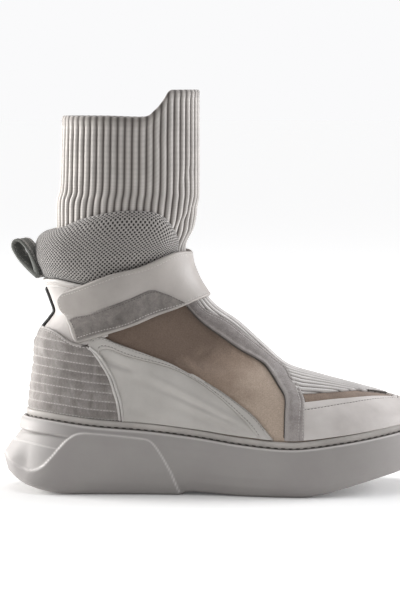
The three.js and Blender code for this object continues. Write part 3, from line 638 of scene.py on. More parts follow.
def along(points, normals, pitch):
    """Evenly spaced places along a line of points, with their directions and normals."""
    run = np.r_[0, np.cumsum(np.linalg.norm(np.diff(points, axis=0), axis=1))]
    count = max(int(run[-1] / pitch), 1)
    t = (np.arange(count) + 0.5) * run[-1] / count
    here = np.stack([np.interp(t, run, points[:, k]) for k in range(3)], -1)
    tangent = np.gradient(points, axis=0)
    way = np.stack([np.interp(t, run, tangent[:, k]) for k in range(3)], -1)
    up = np.stack([np.interp(t, run, normals[:, k]) for k in range(3)], -1)
    way /= np.linalg.norm(way, axis=1, keepdims=True)
    up -= way * np.sum(up * way, 1, keepdims=True)
    up /= np.maximum(np.linalg.norm(up, axis=1, keepdims=True), 1e-9)
    return here, way, up


def sew(thread, line, out, pitch, length, width, height):
    """Keeps a row of stitches. line(out) gives its points, out mm off the form."""
    points = line(out)
    here, way, up = along(points, line(out + 1) - points, pitch)
    thread_rows[thread].append((here, way, up, length, width, height))


def sew_on(thread, panel, u, v, out, over, inner, *sizes):
    """A row of stitches at u, v of a panel, over mm above the face that out gives."""
    sew(thread, lambda lift: panel.at(u, v, lift, inner), panel.face(u, v, out) + over, *sizes)


def make_threads(name, thread):
    """One mesh of all the stitches kept for a thread."""
    bpy.ops.object.select_all(action="DESELECT")
    bpy.ops.mesh.primitive_uv_sphere_add(segments=6, ring_count=4, radius=0.5)
    one = bpy.context.active_object
    base = np.array([v.co[:] for v in one.data.vertices])
    base[:, [0, 2]] = base[:, [2, 0]] * [1, -1]
    faces = [tuple(p.vertices) for p in one.data.polygons]
    bpy.data.objects.remove(one)
    points, polygons = [], []
    for here, way, up, length, width, height in thread_rows[thread]:
        wide = np.cross(up, way)
        for p, a, b, c in zip(here, way, wide, up):
            start = len(points) * len(base)
            points.append(p + base[:, :1] * length * a + base[:, 1:2] * width * b + base[:, 2:] * height * c)
            polygons.extend([tuple(start + i for i in f) for f in faces])
    mesh = bpy.data.meshes.new(name)
    mesh.from_pydata(np.concatenate(points) * MM, [], polygons)
    mesh.update()
    piece = bpy.data.objects.new(name, mesh)
    bpy.context.scene.collection.objects.link(piece)
    bpy.context.view_layer.objects.active = piece
    piece.select_set(True)
    face_outwards()
    bpy.ops.object.shade_smooth()
    return piece


def tube(name, line, out, radius, height, sides=12):
    """A flattened tube with closed, rounded ends. line(out) gives its points, out mm off the
    form, radius its half width and height its half height."""
    pitch = min(radius, 1.2)
    points = line(out)
    here, way, up = along(points, line(out + 1) - points, pitch)
    wide = np.cross(up, way)
    count = len(here)
    us, vs = np.linspace(0, 1, sides + 1), np.linspace(0, 1, count)

    def place(U, V):
        n = np.rint(V * (count - 1)).astype(int)
        end = np.minimum(n, count - 1 - n) * pitch
        full = np.sqrt(1 - (1 - np.clip(end / radius, 0, 1)) ** 2)[:, None]
        turn = (U * TURN)[:, None]
        return here[n] + full * (wide[n] * np.cos(turn) * radius + up[n] * np.sin(turn) * height)

    piece = lay_grid(name, us, vs, place, (radius * 6, count * pitch), joined=True, back=0, facing=(0, 0, 0))
    face_outwards()
    return piece


def join(name, *pieces):
    """Several meshes as one object."""
    bpy.ops.object.select_all(action="DESELECT")
    for piece in pieces:
        piece.select_set(True)
    bpy.context.view_layer.objects.active = pieces[0]
    bpy.ops.object.join()
    pieces[0].name = pieces[0].data.name = name
    return pieces[0]


# %% [markdown]
# ## Finishes
# Each finish starts from what the real one is. Grain, nap and gloss come from the shader,
# and their scales are worked out from sizes in millimetres. A pattern finer than about half
# a millimetre wouldn't show at this distance, so such grain is drawn a little coarser.

# %% Shared start of a finish
TIMES, BLEND = {"data_type": "RGBA", "blend_type": "MULTIPLY"}, {"data_type": "RGBA"}


def start(name, rough, **sockets):
    material = bpy.data.materials.new(name)
    material.use_nodes = True
    tree = material.node_tree
    shader = tree.nodes["Principled BSDF"]
    shader.inputs["Roughness"].default_value = rough
    for key, value in sockets.items():
        shader.inputs[key.replace("_", " ")].default_value = value
    place = add_node(tree, "ShaderNodeTexCoord")
    return material, tree, shader, place


def per_mm(size):
    """A texture scale whose features are about size mm, on Object coordinates in metres."""
    return 1 / (size * MM)


def ramp(node, *stops):
    """Sets a colour ramp's stops: pairs of place and hex colour."""
    elements = node.color_ramp.elements
    while len(elements) < len(stops):
        elements.new(0.5)
    for element, (place, code) in zip(elements, stops):
        element.position = place
        element.color = linear(code)
    return node.outputs["Color"]


# %% [markdown]
# ### Smooth leather
# Full-grain leather is pigmented and lightly waxed. It shows fine pores, a faint cloudiness
# from the hide and a soft sheen, so its grain is bump and its gloss is mid.

# %% Smooth leather
def painted_light_along_x(tree, place, colour, painted_light_grade):
    """The colour times a share, which grows or falls from x = first mm to 1 at x = last mm. It paints light towards
    the heel's back where the share is above 1, and shade where it is below.
    The last argument holds first, last and the share, or None for no change."""
    if painted_light_grade is None:
        return colour
    first, last, share = painted_light_grade
    along = add_node(tree, "ShaderNodeSeparateXYZ", Vector=place.outputs["Object"])
    fade = add_node(tree, "ShaderNodeMapRange", i0=along.outputs["X"], i1=first * MM, i2=last * MM, i3=share, i4=1.0)
    return add_node(tree, "ShaderNodeVectorMath", {"operation": "MULTIPLY"}, i0=colour, i1=fade.outputs[0]).outputs[0]


def leather(name, dark, mid, light, rough=0.5, cloud=32, grain=0.9, painted_light_grade=None):
    material, tree, shader, place = start(name, rough, Specular_IOR_Level=0.4, IOR=1.45)
    clouds = add_node(
        tree, "ShaderNodeTexNoise", Vector=place.outputs["Object"], Scale=per_mm(cloud), Detail=5.0,
        Roughness=0.6,
    )
    colours = add_node(tree, "ShaderNodeValToRGB", Fac=clouds.outputs["Fac"])
    shade = painted_light_along_x(tree, place, ramp(colours, (0.34, dark), (0.5, mid), (0.68, light)), painted_light_grade)
    tree.links.new(shade, shader.inputs["Base Color"])
    pores = add_node(
        tree, "ShaderNodeTexVoronoi", {"feature": "DISTANCE_TO_EDGE"}, Vector=place.outputs["Object"],
        Scale=per_mm(grain),
    )
    creases = add_node(
        tree, "ShaderNodeTexNoise", Vector=place.outputs["Object"], Scale=per_mm(6), Detail=6.0, Roughness=0.62
    )
    soft = add_node(tree, "ShaderNodeBump", Strength=0.35, Distance=0.0006, Height=creases.outputs["Fac"])
    fine = add_node(
        tree, "ShaderNodeBump", Strength=0.14, Distance=0.00015, Height=pores.outputs["Distance"],
        Normal=soft.outputs["Normal"],
    )
    tree.links.new(fine.outputs["Normal"], shader.inputs["Normal"])
    return material


quarter_leather = leather("waxed light grey leather", "#b7b3ae", "#bfbbb6", "#c5c1bc", cloud=40)
toe_leather = leather("waxed pale leather", "#c4beba", "#cfc9c5", "#d8d3cf", cloud=36)
# Painted shade: the saddle leather darkens towards the heel's back.
saddle_leather = leather("waxed cream leather", "#c4beba", "#cfc9c5", "#d8d3cf", cloud=36, painted_light_grade=(-38, 0, 0.66))
# Painted shade: the strap leather darkens towards its outer end at the back.
strap_leather = leather("waxed warm grey leather", "#a49e99", "#aca6a1", "#b4aea9", cloud=34, painted_light_grade=(-16, 34, 0.76))
rand_leather = leather("grey rand leather", "#a49f9b", "#b3aea9", "#beb9b4", rough=0.55)
piping_leather = leather("pale piping leather", "#b9b4b0", "#c6c2be", "#d0ccc8", rough=0.45)
black_binding = leather("black binding", "#1d1c1b", "#262524", "#302e2d", rough=0.55)


# %% [markdown]
# ### Nubuck and suede
# Nubuck and suede are leathers sanded to a nap. The nap lies in strokes of different
# directions, which shows as soft lighter and darker patches, and it glows at grazing angles.

# %% Nubuck and suede
def napped(
    name, dark, mid, light, cloud=14, nap=0.7, sheen=0.35, depth=0.0003, streak=1.0, painted_seam_tone="#8a8480",
    worn_and_painted_light=0.0, painted_light_grade=None,
):
    material, tree, shader, place = start(name, 0.9, Specular_IOR_Level=0.15, Sheen_Weight=sheen, Sheen_Roughness=0.5)
    spread = add_node(tree, "ShaderNodeMapping", Vector=place.outputs["Object"])
    spread.inputs["Scale"].default_value = (1, 1, streak)
    clouds = add_node(
        tree, "ShaderNodeTexNoise", Vector=spread.outputs["Vector"], Scale=per_mm(cloud), Detail=7.0,
        Roughness=0.68, Distortion=0.6,
    )
    tone = clouds.outputs["Fac"]
    # The attribute read here holds painted light and shade, and this share of the nap's tone comes from it.
    if worn_and_painted_light:
        wear_and_painted_light = add_node(tree, "ShaderNodeAttribute", {"attribute_name": "wear_and_painted_light"})
        tone = add_node(
            tree, "ShaderNodeMix", {"data_type": "FLOAT"}, i0=worn_and_painted_light, i2=tone, i3=wear_and_painted_light.outputs["Fac"]
        ).outputs[0]
    colours = add_node(tree, "ShaderNodeValToRGB", Fac=tone)
    shade = ramp(colours, (0.3, dark), (0.5, mid), (0.72, light))
    hairs = add_node(
        tree, "ShaderNodeTexNoise", Vector=place.outputs["Object"], Scale=per_mm(nap), Detail=3.0, Roughness=0.8
    )
    speckle = add_node(tree, "ShaderNodeValToRGB", Fac=hairs.outputs["Fac"])
    speck = ramp(speckle, (0.3, "#c4c4c4"), (0.7, "#ffffff"))
    mixed = add_node(tree, "ShaderNodeMix", TIMES, i0=0.75, i6=painted_light_along_x(tree, place, shade, painted_light_grade), i7=speck)
    # The attribute mixes the seam colour in along the seams, as a painted highlight on the counter.
    painted_seam_light = add_node(tree, "ShaderNodeAttribute", {"attribute_name": "painted_seam_light"})
    sunk = add_node(tree, "ShaderNodeMix", BLEND, i0=painted_seam_light.outputs["Fac"], i6=mixed.outputs[2])
    sunk.inputs[7].default_value = linear(painted_seam_tone)
    tree.links.new(sunk.outputs[2], shader.inputs["Base Color"])
    bump = add_node(tree, "ShaderNodeBump", Strength=0.6, Distance=depth, Height=hairs.outputs["Fac"])
    tree.links.new(bump.outputs["Normal"], shader.inputs["Normal"])
    return material


# The brown nubuck and the grey suede mix painted light and shade into their tone.
brown_nubuck = napped("brown nubuck", "#7f6e62", "#a99585", "#cdbaa9", cloud=24, nap=0.9, sheen=0.2, worn_and_painted_light=0.62)
grey_suede = napped(
    "grey suede", "#7b7471", "#99928f", "#bab3b0", cloud=6, nap=0.6, sheen=0.4, depth=0.0005, worn_and_painted_light=0.5
)
patch_suede = napped("dark grey suede", "#746e6a", "#88827e", "#9b958f", cloud=7, nap=0.6, sheen=0.35, depth=0.0005)
# Painted light: the counter suede lightens towards the heel's back, and its seam colour is a painted highlight along
# the seams.
counter_suede = napped(
    "brushed grey suede", "#7d7773", "#938d89", "#b0aaa6", cloud=7, nap=0.6, sheen=0.4, depth=0.0005,
    streak=0.35, painted_seam_tone="#bdb8b4", painted_light_grade=(-48, -6, 1.34),
)
rim_suede = napped("pale suede binding", "#b1aba7", "#bfb9b5", "#cbc6c2", cloud=7, nap=0.6, sheen=0.4)


# %% [markdown]
# ### Ribbed knit
# A rib knit is plain columns raised over sunk ones. The ribs are modelled; the shader gives
# the rows of loops along each rib, as small waves, paints shade in the sunk columns and paints light on the crests.

# %% Ribbed knit
def knit(name, painted_valley_shade, body, crest, loop_rows=1.5, painted_light_grade=None):
    material, tree, shader, place = start(name, 0.88, Specular_IOR_Level=0.15, Sheen_Weight=0.3, Sheen_Roughness=0.6)
    # Painted shade and light: the rib attribute darkens the sunk columns to the valley colour and lightens the
    # crests.
    rib = add_node(tree, "ShaderNodeAttribute", {"attribute_name": "rib"})
    colours = add_node(tree, "ShaderNodeValToRGB", Fac=rib.outputs["Fac"])
    shade = ramp(colours, (0.12, painted_valley_shade), (0.55, body), (0.98, crest))
    loops = add_node(tree, "ShaderNodeTexWave", {"wave_type": "BANDS", "bands_direction": "Y", "wave_profile": "SIN"},
                     Vector=place.outputs["UV"], Scale=3.14 / loop_rows, Distortion=1.2, Detail=2.0, Detail_Scale=9.0)
    lines = add_node(tree, "ShaderNodeValToRGB", Fac=loops.outputs["Fac"])
    row = ramp(lines, (0.1, "#ececec"), (0.7, "#ffffff"))
    clouds = add_node(tree, "ShaderNodeTexNoise", Vector=place.outputs["Object"], Scale=per_mm(18), Detail=4.0)
    soil_and_painted_shade = add_node(tree, "ShaderNodeValToRGB", Fac=clouds.outputs["Fac"])
    wear_and_painted_light = ramp(soil_and_painted_shade, (0.35, "#eeeeee"), (0.65, "#ffffff"))
    with_rows = add_node(tree, "ShaderNodeMix", TIMES, i0=0.35, i6=painted_light_along_x(tree, place, shade, painted_light_grade), i7=row)
    worn_and_painted_light = add_node(tree, "ShaderNodeMix", TIMES, i0=1.0, i6=with_rows.outputs[2], i7=wear_and_painted_light)
    tree.links.new(worn_and_painted_light.outputs[2], shader.inputs["Base Color"])
    bump = add_node(tree, "ShaderNodeBump", Strength=0.06, Distance=0.0003, Height=loops.outputs["Fac"])
    tree.links.new(bump.outputs["Normal"], shader.inputs["Normal"])
    return material


# Painted light: the shaft knit lightens towards the back. Both knits get painted shade in their sunk columns from the
# valley colour.
shaft_knit = knit("grey rib knit", "#5e5854", "#aaa49f", "#cdc8c3", painted_light_grade=(-12, 14, 1.25))
vamp_knit = knit("pale rib knit", "#5a5551", "#c3beba", "#d7d3d0")


# %% [markdown]
# ### Spacer mesh
# Spacer mesh is a warp knit with a face of small open diamonds over foam. Its holes show
# dark. They stand in a staggered lattice, 2.7 mm along and 3.8 mm up on the real cloth.

# %% Spacer mesh
def mesh_cloth(name, hole, yarn, crest, wide=2.7, high=3.8, painted_light_grade=None):
    material, tree, shader, place = start(name, 0.85, Specular_IOR_Level=0.2, Sheen_Weight=0.3, Sheen_Roughness=0.5)
    parts = add_node(tree, "ShaderNodeSeparateXYZ", Vector=place.outputs["UV"])
    waves = []
    for axis, size in (("X", wide), ("Y", high)):
        turned = add_node(
            tree, "ShaderNodeMath", {"operation": "MULTIPLY"}, i0=parts.outputs[axis], i1=math.tau * 10 / size
        )
        waves.append(add_node(tree, "ShaderNodeMath", {"operation": "COSINE"}, i0=turned.outputs[0]))
    lattice = add_node(
        tree, "ShaderNodeMath", {"operation": "MULTIPLY"}, i0=waves[0].outputs[0], i1=waves[1].outputs[0]
    )
    colours = add_node(tree, "ShaderNodeValToRGB", Fac=lattice.outputs[0])
    shade = painted_light_along_x(tree, place, ramp(colours, (0.0, crest), (0.13, yarn), (0.36, hole)), painted_light_grade)
    tree.links.new(shade, shader.inputs["Base Color"])
    bump = add_node(
        tree, "ShaderNodeBump", {"invert": True}, Strength=0.8, Distance=0.0005, Height=lattice.outputs[0]
    )
    tree.links.new(bump.outputs["Normal"], shader.inputs["Normal"])
    return material


# Painted shade: the spacer mesh darkens towards the back.
spacer_mesh = mesh_cloth("grey spacer mesh", "#33312f", "#9a9591", "#afaaa6", painted_light_grade=(-42, 16, 0.54))


# %% [markdown]
# ### Moulded rubber
# The sole is compression-moulded rubber with a matt tool finish. Its edges and tiers get painted
# highlights, and the groove under the top tier gets painted shade.

# %% Moulded rubber
def rubber(name, body, light, worn_and_painted_light, painted_shade_colour):
    material, tree, shader, place = start(name, 0.62, Specular_IOR_Level=0.35, IOR=1.5)
    clouds = add_node(
        tree, "ShaderNodeTexNoise", Vector=place.outputs["Object"], Scale=per_mm(45), Detail=5.0, Roughness=0.6
    )
    colours = add_node(tree, "ShaderNodeValToRGB", Fac=clouds.outputs["Fac"])
    shade = ramp(colours, (0.35, body), (0.65, light))
    # Painted highlights: the edge attribute mixes in the light colour along the sole's edges and tiers.
    edge = add_node(tree, "ShaderNodeAttribute", {"attribute_name": "edge"})
    mixed = add_node(tree, "ShaderNodeMix", BLEND, i0=edge.outputs["Fac"], i6=shade)
    mixed.inputs[7].default_value = linear(worn_and_painted_light)
    # Painted shade: this attribute mixes in the dark colour in the groove under the top tier.
    painted_shade = add_node(tree, "ShaderNodeAttribute", {"attribute_name": "painted_shade"})
    groove_shaded = add_node(tree, "ShaderNodeMix", BLEND, i0=painted_shade.outputs["Fac"], i6=mixed.outputs[2])
    groove_shaded.inputs[7].default_value = linear(painted_shade_colour)
    tree.links.new(groove_shaded.outputs[2], shader.inputs["Base Color"])
    grit = add_node(tree, "ShaderNodeTexNoise", Vector=place.outputs["Object"], Scale=per_mm(0.8), Detail=3.0)
    bump = add_node(tree, "ShaderNodeBump", Strength=0.12, Distance=0.0002, Height=grit.outputs["Fac"])
    tree.links.new(bump.outputs["Normal"], shader.inputs["Normal"])
    return material


# e0dcd9 is the painted highlight's colour and #6a6764 the painted shade's colour.
sole_rubber = rubber("moulded grey rubber", "#9f9a98", "#a4a09d", "#e0dcd9", "#6a6764")


# %% [markdown]
# ### Webbing, thread and footbed
# The loop is a woven tape with pale edges. Thread is waxed polyester, with a fine twist. The
# footbed is brushed textile glued on foam.

# %% Webbing, thread and footbed
def woven(name, codes, size=1.2, rough=0.8):
    material, tree, shader, place = start(name, rough, Specular_IOR_Level=0.25, Sheen_Weight=0.2)
    parts = add_node(tree, "ShaderNodeSeparateXYZ", Vector=place.outputs["UV"])
    colours = add_node(tree, "ShaderNodeValToRGB", {}, Fac=parts.outputs["X"])
    colours.color_ramp.interpolation = "CONSTANT"
    shade = ramp(colours, *codes)
    weave = add_node(tree, "ShaderNodeTexWave", {"wave_type": "BANDS", "bands_direction": "DIAGONAL"},
                     Vector=place.outputs["UV"], Scale=6.0 / size, Distortion=0.4)
    lines = add_node(tree, "ShaderNodeValToRGB", Fac=weave.outputs["Fac"])
    row = ramp(lines, (0.1, "#bdbdbd"), (0.7, "#ffffff"))
    mixed = add_node(tree, "ShaderNodeMix", TIMES, i0=0.7, i6=shade, i7=row)
    tree.links.new(mixed.outputs[2], shader.inputs["Base Color"])
    bump = add_node(tree, "ShaderNodeBump", Strength=0.5, Distance=0.0003, Height=weave.outputs["Fac"])
    tree.links.new(bump.outputs["Normal"], shader.inputs["Normal"])
    return material


def thread(name, dark, light):
    material, tree, shader, place = start(name, 0.6, Specular_IOR_Level=0.3)
    twist = add_node(tree, "ShaderNodeTexNoise", Vector=place.outputs["Object"], Scale=per_mm(0.7), Detail=2.0)
    colours = add_node(tree, "ShaderNodeValToRGB", Fac=twist.outputs["Fac"])
    tree.links.new(ramp(colours, (0.3, dark), (0.7, light)), shader.inputs["Base Color"])
    return material


WEBBING_LINES = [
    (0.0, "#484744"), (0.05, "#72726d"), (0.12, "#aeaaa5"), (0.15, "#6c6c67"), (0.33, "#aeaaa5"),
    (0.36, "#72726d"), (0.43, "#484744"), (0.53, "#7c7d78"),
]
loop_webbing = woven("grey webbing", WEBBING_LINES)
light_thread = thread("pale waxed thread", "#b4afab", "#d8d4d0")
mid_thread = thread("grey waxed thread", "#7f7a76", "#98938f")
dark_thread = thread("dark waxed thread", "#3c3936", "#5c5753")
footbed_textile = napped("brushed footbed textile", "#8d8884", "#9b9591", "#a8a29d", cloud=18, nap=0.8, sheen=0.2)
print("finishes:", sorted(m.name for m in bpy.data.materials))


# %% [markdown]
# ## The sole
# A cup sole is one moulding: a wall that flares at the heel in three tiers, a raised block
# under the heel, a lip with a stitch channel and a tread. Its wall is a table of rows around
# the foot, so the same grid can raise the block and carry its painted highlights and shade.

# %% Tables of the sole
def from_table(table):
    """A place function that reads points or numbers from a table of rows and columns."""
    table = np.asarray(table)

    def read(U, V):
        return table[np.rint(V * (table.shape[0] - 1)).astype(int), np.rint(U * (table.shape[1] - 1)).astype(int)]

    return read


def even_columns(count, level=0.0):
    """count + 1 turns round the form, evenly spaced and alike on both sides."""
    half = np.linspace(0, np.pi, 1501)
    points = form_point(half, np.full(half.shape, float(level)))
    run = np.r_[0, np.cumsum(np.linalg.norm(np.diff(points, axis=0), axis=1))]
    outer = np.interp(np.linspace(0, run[-1], count // 2 + 1), run, half)
    return np.r_[outer, TURN - outer[-2::-1]]


def sole_outline(around, out):
    """The feather line moved out in plan by out mm."""
    point = form_point(around, 0.0 * around)
    across = form_point(around + 0.01, 0.0 * around) - form_point(around - 0.01, 0.0 * around)
    length = np.hypot(across[:, 0], across[:, 1])
    return point[:, 0] + across[:, 1] / length * out, point[:, 1] - across[:, 0] / length * out


SOLE_MARGIN, EDGE_ROUND, BLOCK_RISE = 6.0, 2.4, 2.2
# x, z of the heel's rolled under edge
HEEL_ROLL = [
    (-60, 27), (-55.5, 20), (-52.5, 16), (-48.6, 12.6), (-45.5, 10.3), (-40, 7.6), (-34.5, 5.6), (-27, 3.5),
    (-20, 2.0), (-12, 0.8), (-4, 0.15), (2, 0),
]
# up, stand-out at the heel's sides, stand-out elsewhere
WALL_ROWS = np.array([
    (0.00, 11.3, -0.6), (0.14, 9.2, 1.0), (0.34, 7.6, 1.8), (0.56, 5.2, 1.8), (0.75, 2.6, 1.4),
    (0.90, 1.2, 0.7), (1.00, 0.0, 0.0),
])
# depth under the lip, stand-out at the heel's back
BACK_ROWS = np.array([
    (0, 0), (5, 0.9), (9, 1.6), (12, 2.4), (16, 5.4), (19, 7.4), (23, 10.0), (26, 12.4), (28, 14.0), (29.4, 14.5),
])
# depths of the groove and of the lower tier's edge: at the back, and where they meet the block
GROOVE_DEPTH, TIER_DEPTH = (10.8, 10.2), (17.0, 18.8)
# stand-out, depth under the lip and painted highlight of the rows that roll into the channel
LIP_ROWS = [
    (-0.9, 0.0, 0.6), (-1.7, 0.0, 0.4), (-2.3, 0.25, 0.1), (-2.6, 0.9, 0), (-2.7, 1.8, 0), (-2.8, 2.5, 0),
]
# the heel block's outline, in shares of the foot's length and the lip's height
BLOCK_CORNERS = [
    (-0.2, -0.1), (-0.2, 0.5), (-0.058, 0.5), (-0.042, 0.4), (-0.022, 0.335), (0.006, 0.32),
    (0.03, 0.38), (0.056, 0.53), (0.08, 0.69), (0.098, 0.79), (0.12, 0.87), (0.145, 0.9),
    (0.29, 0.88), (0.308, 0.84), (0.33, 0.67), (0.356, 0.39), (0.386, -0.1),
]
# the tread's cross grooves, in shares of the foot's length
GROOVES = [0.17, 0.23, 0.29, 0.35, 0.58, 0.65, 0.72, 0.79, 0.86]


def inside_distance(corners, x, z):
    """Distance from an outline's edge, positive inside it."""
    near = np.full(np.shape(x), 1e9)
    inside = np.zeros(np.shape(x), bool)
    for (x1, z1), (x2, z2) in zip(corners, corners[1:] + corners[:1]):
        t = np.clip(((x - x1) * (x2 - x1) + (z - z1) * (z2 - z1)) / ((x2 - x1) ** 2 + (z2 - z1) ** 2), 0, 1)
        near = np.minimum(near, np.hypot(x - (x1 + t * (x2 - x1)), z - (z1 + t * (z2 - z1))))
        crosses = (z1 > z) != (z2 > z)
        inside ^= crosses & (x < (x2 - x1) * (z - z1) / (z2 - z1 + 1e-12) + x1)
    return np.where(inside, near, -near)


# %% Sole
def under_z(x):
    """Height of the sole's under side."""
    return np.maximum(floor_z(x), through(HEEL_ROLL, x) * (x < 2))


columns = even_columns(560)
foot_line = form_point(columns, 0 * columns)
flare = 1 - smoothstep(share_at(foot_line[:, 0]), 0.03, 0.15)
block = [(float(foot_x(s)), float(up * lip_z(foot_x(max(s, 0))))) for s, up in BLOCK_CORNERS]
block = [tuple(p) for p in np.concatenate([block[:3], resample(block[2:-1], 90)[1:], block[-1:]])]
at_back = 1 - smoothstep(share_at(foot_line[:, 0]), 0.0, 0.03)
foot_out = SOLE_MARGIN + lerp(-0.6, 11.3, flare) + at_back
first_x, _ = sole_outline(columns, foot_out)
foot_gap = inside_distance(block, first_x, under_z(first_x))
first_x, _ = sole_outline(columns, foot_out + BLOCK_RISE * smoothstep(foot_gap, -0.8, 0.8))
contact = lerp(-4.0, 11.3 - 3, flare)
table, painted_highlights, soil_and_painted_shade = [], [], []


def row_at(out, height, raised=True):
    """A row out mm from the feather line. height gives z from x. raised lifts the block."""
    x, y = sole_outline(columns, SOLE_MARGIN + out)
    if raised:
        gap = inside_distance(block, x, height(x))
        x, y = sole_outline(columns, SOLE_MARGIN + out + BLOCK_RISE * smoothstep(gap, -0.8, 0.8))
    return np.stack([x, y, height(x)], -1)


def add_row(row, painted_lightness=0.0, painted_groove_shade=0.0):
    """Adds a row to the sole's table, with how much painted highlight and painted shade it has."""
    table.append(row)
    painted_highlights.append(painted_lightness + 0 * columns)
    soil_and_painted_shade.append(painted_groove_shade + 0 * columns)


def wall_row(up):
    """A row of the wall: the heel's tiers lie at set depths under the lip, and stop at the block."""
    x, y = sole_outline(columns, foot_out)
    low = under_z(first_x) + EDGE_ROUND
    z = lerp(low, lip_z(x) - 0.25, up)
    gap = inside_distance(block, x, z)
    on_block = smoothstep(gap, -0.8, 0.8)
    depth, ahead = lip_z(x) - z, smoothstep(share_at(x), -0.04, 0.07)
    groove, ledge = lerp(*GROOVE_DEPTH, ahead), lerp(*TIER_DEPTH, ahead)
    tiers = (
        1.4 * smoothstep(depth, 0, 3) * (1 - smoothstep(depth, groove - 2.2, groove - 0.5))
        - 1.0 * np.exp(-(((depth - groove) / 0.9) ** 2))
        + 1.0 * smoothstep(depth, ledge - 0.5, ledge + 0.4) * (1 - smoothstep(depth, ledge + 6, ledge + 16))
    ) * (1 - on_block) * flare
    sides = lerp(
        np.interp(up, WALL_ROWS[:, 0], WALL_ROWS[:, 2]), np.interp(up, WALL_ROWS[:, 0], WALL_ROWS[:, 1]), flare
    )
    sides = sides + BLOCK_RISE * on_block
    out = lerp(sides, np.interp(lip_z(x) - z, BACK_ROWS[:, 0], BACK_ROWS[:, 1]), at_back)
    x, y = sole_outline(columns, SOLE_MARGIN + out + tiers - 0.35 * smoothstep(up, 0.975, 1))
    # Painted highlights: a light line along the block's outline, on the lower tier's edge, over the tiers and along
    # the lip.
    line = np.exp(-(((gap + 0.1) / 0.62) ** 2)) * lerp(0.35, 1, 1 - at_back)
    tier = flare * (1 - on_block) * (0.7 * np.exp(-(((depth - ledge) / 0.5) ** 2)) + 0.45 * (1 - 0.7 * at_back))
    painted_lightness = np.clip(np.maximum(np.maximum(line, tier), 0.6 * smoothstep(up, 0.955, 0.99)), 0, 1)
    # Painted shade in the groove under the top tier.
    painted_groove_shade = 0.75 * flare * (1 - on_block) * (1 - 0.7 * at_back) * np.exp(-(((depth - groove) / 0.8) ** 2))
    add_row(np.stack([x, y, z], -1), painted_lightness, painted_groove_shade)


def inner_row(ring, share, height):
    """A row between a ring and the sole's middle line."""
    middle = (ring[:, 0] + ring[::-1, 0]) / 2
    x = lerp(ring[:, 0], middle, smoothstep(share, 0, 1))
    y = lerp(ring[:, 1], swing(x), share)
    return np.stack([x, y, height(x, share)], -1)


def tread(x, share):
    """Height of the under side with its cross grooves."""
    cut = sum(1 - smoothstep(np.abs(x - foot_x(s)), 1.6, 2.2) for s in GROOVES)
    return under_z(x) + 2.5 * cut * smoothstep(share, 0.30, 0.34)


under = row_at(contact, under_z)
for share in np.r_[1, np.linspace(0.94, 0.36, 12), 0.34, 0.32, 0.30, 0.2, 0.1]:
    add_row(inner_row(under, share, tread))
add_row(under)
for turn in np.radians([20, 42, 66]):
    out, rise = lerp(contact, foot_out - SOLE_MARGIN, np.sin(turn)), EDGE_ROUND * (1 - np.cos(turn))
    add_row(row_at(out, lambda x, r=rise: under_z(x) + r))
for up in np.unique(np.r_[np.linspace(0, 0.4, 18), np.linspace(0.4, 0.86, 66), np.linspace(0.86, 1, 14)]):
    wall_row(up)
for out, drop, painted_lightness in LIP_ROWS:
    add_row(row_at(out, lambda x, d=drop: lip_z(x) - d, raised=False), painted_lightness)
bed = table[-1]
for share in np.linspace(0.1, 1, 9):
    add_row(inner_row(bed, share, lambda x, s: bed_z(x)))
shares = np.linspace(0, 1, len(columns))
sole = lay_grid(
    "cup_sole", shares, np.linspace(0, 1, len(table)), from_table(table), (700, 90), joined=True, back=0,
    attributes={"edge": from_table(painted_highlights), "painted_shade": from_table(soil_and_painted_shade)},
)
dress(sole, sole_rubber, "sole_rubber", "sole")


# %% [markdown]
# ## Rand, footbed and shell
# The rand is a strip of leather that hides the seam between upper and sole. It is sewn down
# in the channel with long dark stitches. The brown nubuck shell is the bootie underneath.

# %% Rand and its stitches
# out, up of the strip's section
RAND_ROWS = [
    (0.3, 0), (2.0, 0), (2.1, 0.8), (1.7, 1.6), (1.75, 2.1), (2.15, 2.8), (2.3, 4.4), (2.3, 6.0), (2.1, 7.0),
    (1.6, 7.5), (0.9, 7.6), (0.3, 7.4), (0.3, 0),
]
turns = even_columns(420)


def rand_line(out, up):
    line = form(turns, up / (0.05 * SHELL_HEIGHT) + 0 * turns, out)
    line[:, 2] = bed_z(line[:, 0]) + CLEAR + up
    return line


rand_table = [rand_line(out, up) for out, up in RAND_ROWS]
rand = lay_grid("stitched_rand", np.linspace(0, 1, len(turns)), np.linspace(0, 1, len(rand_table)),
                from_table(rand_table), (680, 14), joined=True, back=0)
dress(rand, rand_leather, "light_leather", "rand")
sew("dark", lambda out: rand_line(out, 3.0), 2.1, pitch=5.2, length=3.6, width=1.0, height=0.7)

# %% Footbed
bed_line = even_columns(200)
bed_rows = []
for out, up in [(-4.0, 0.3), (-3.2, 1.2), (-3.1, 3.3), (-3.4, 4.6), (-4.2, 5.2), (-6.0, 5.3)]:
    x, y = sole_outline(bed_line, out)
    bed_rows.append(np.stack([x, y, bed_z(x) + up], -1))
bottom_rows = [inner_row(bed_rows[0], s, lambda x, s: bed_z(x) + 0.3) for s in (1, 0.5)]
top_rows = [
    inner_row(bed_rows[-1], s, lambda x, s: bed_z(x) + 5.3 - 0.6 * smoothstep(s, 0, 0.6))
    for s in np.linspace(0.1, 1, 9)
]
footbed_table = bottom_rows + bed_rows + top_rows
footbed = lay_grid("footbed", np.linspace(0, 1, len(bed_line)), np.linspace(0, 1, len(footbed_table)),
                   from_table(footbed_table), (600, 60), joined=True, back=0)
dress(footbed, footbed_textile, "footbed", "insole")

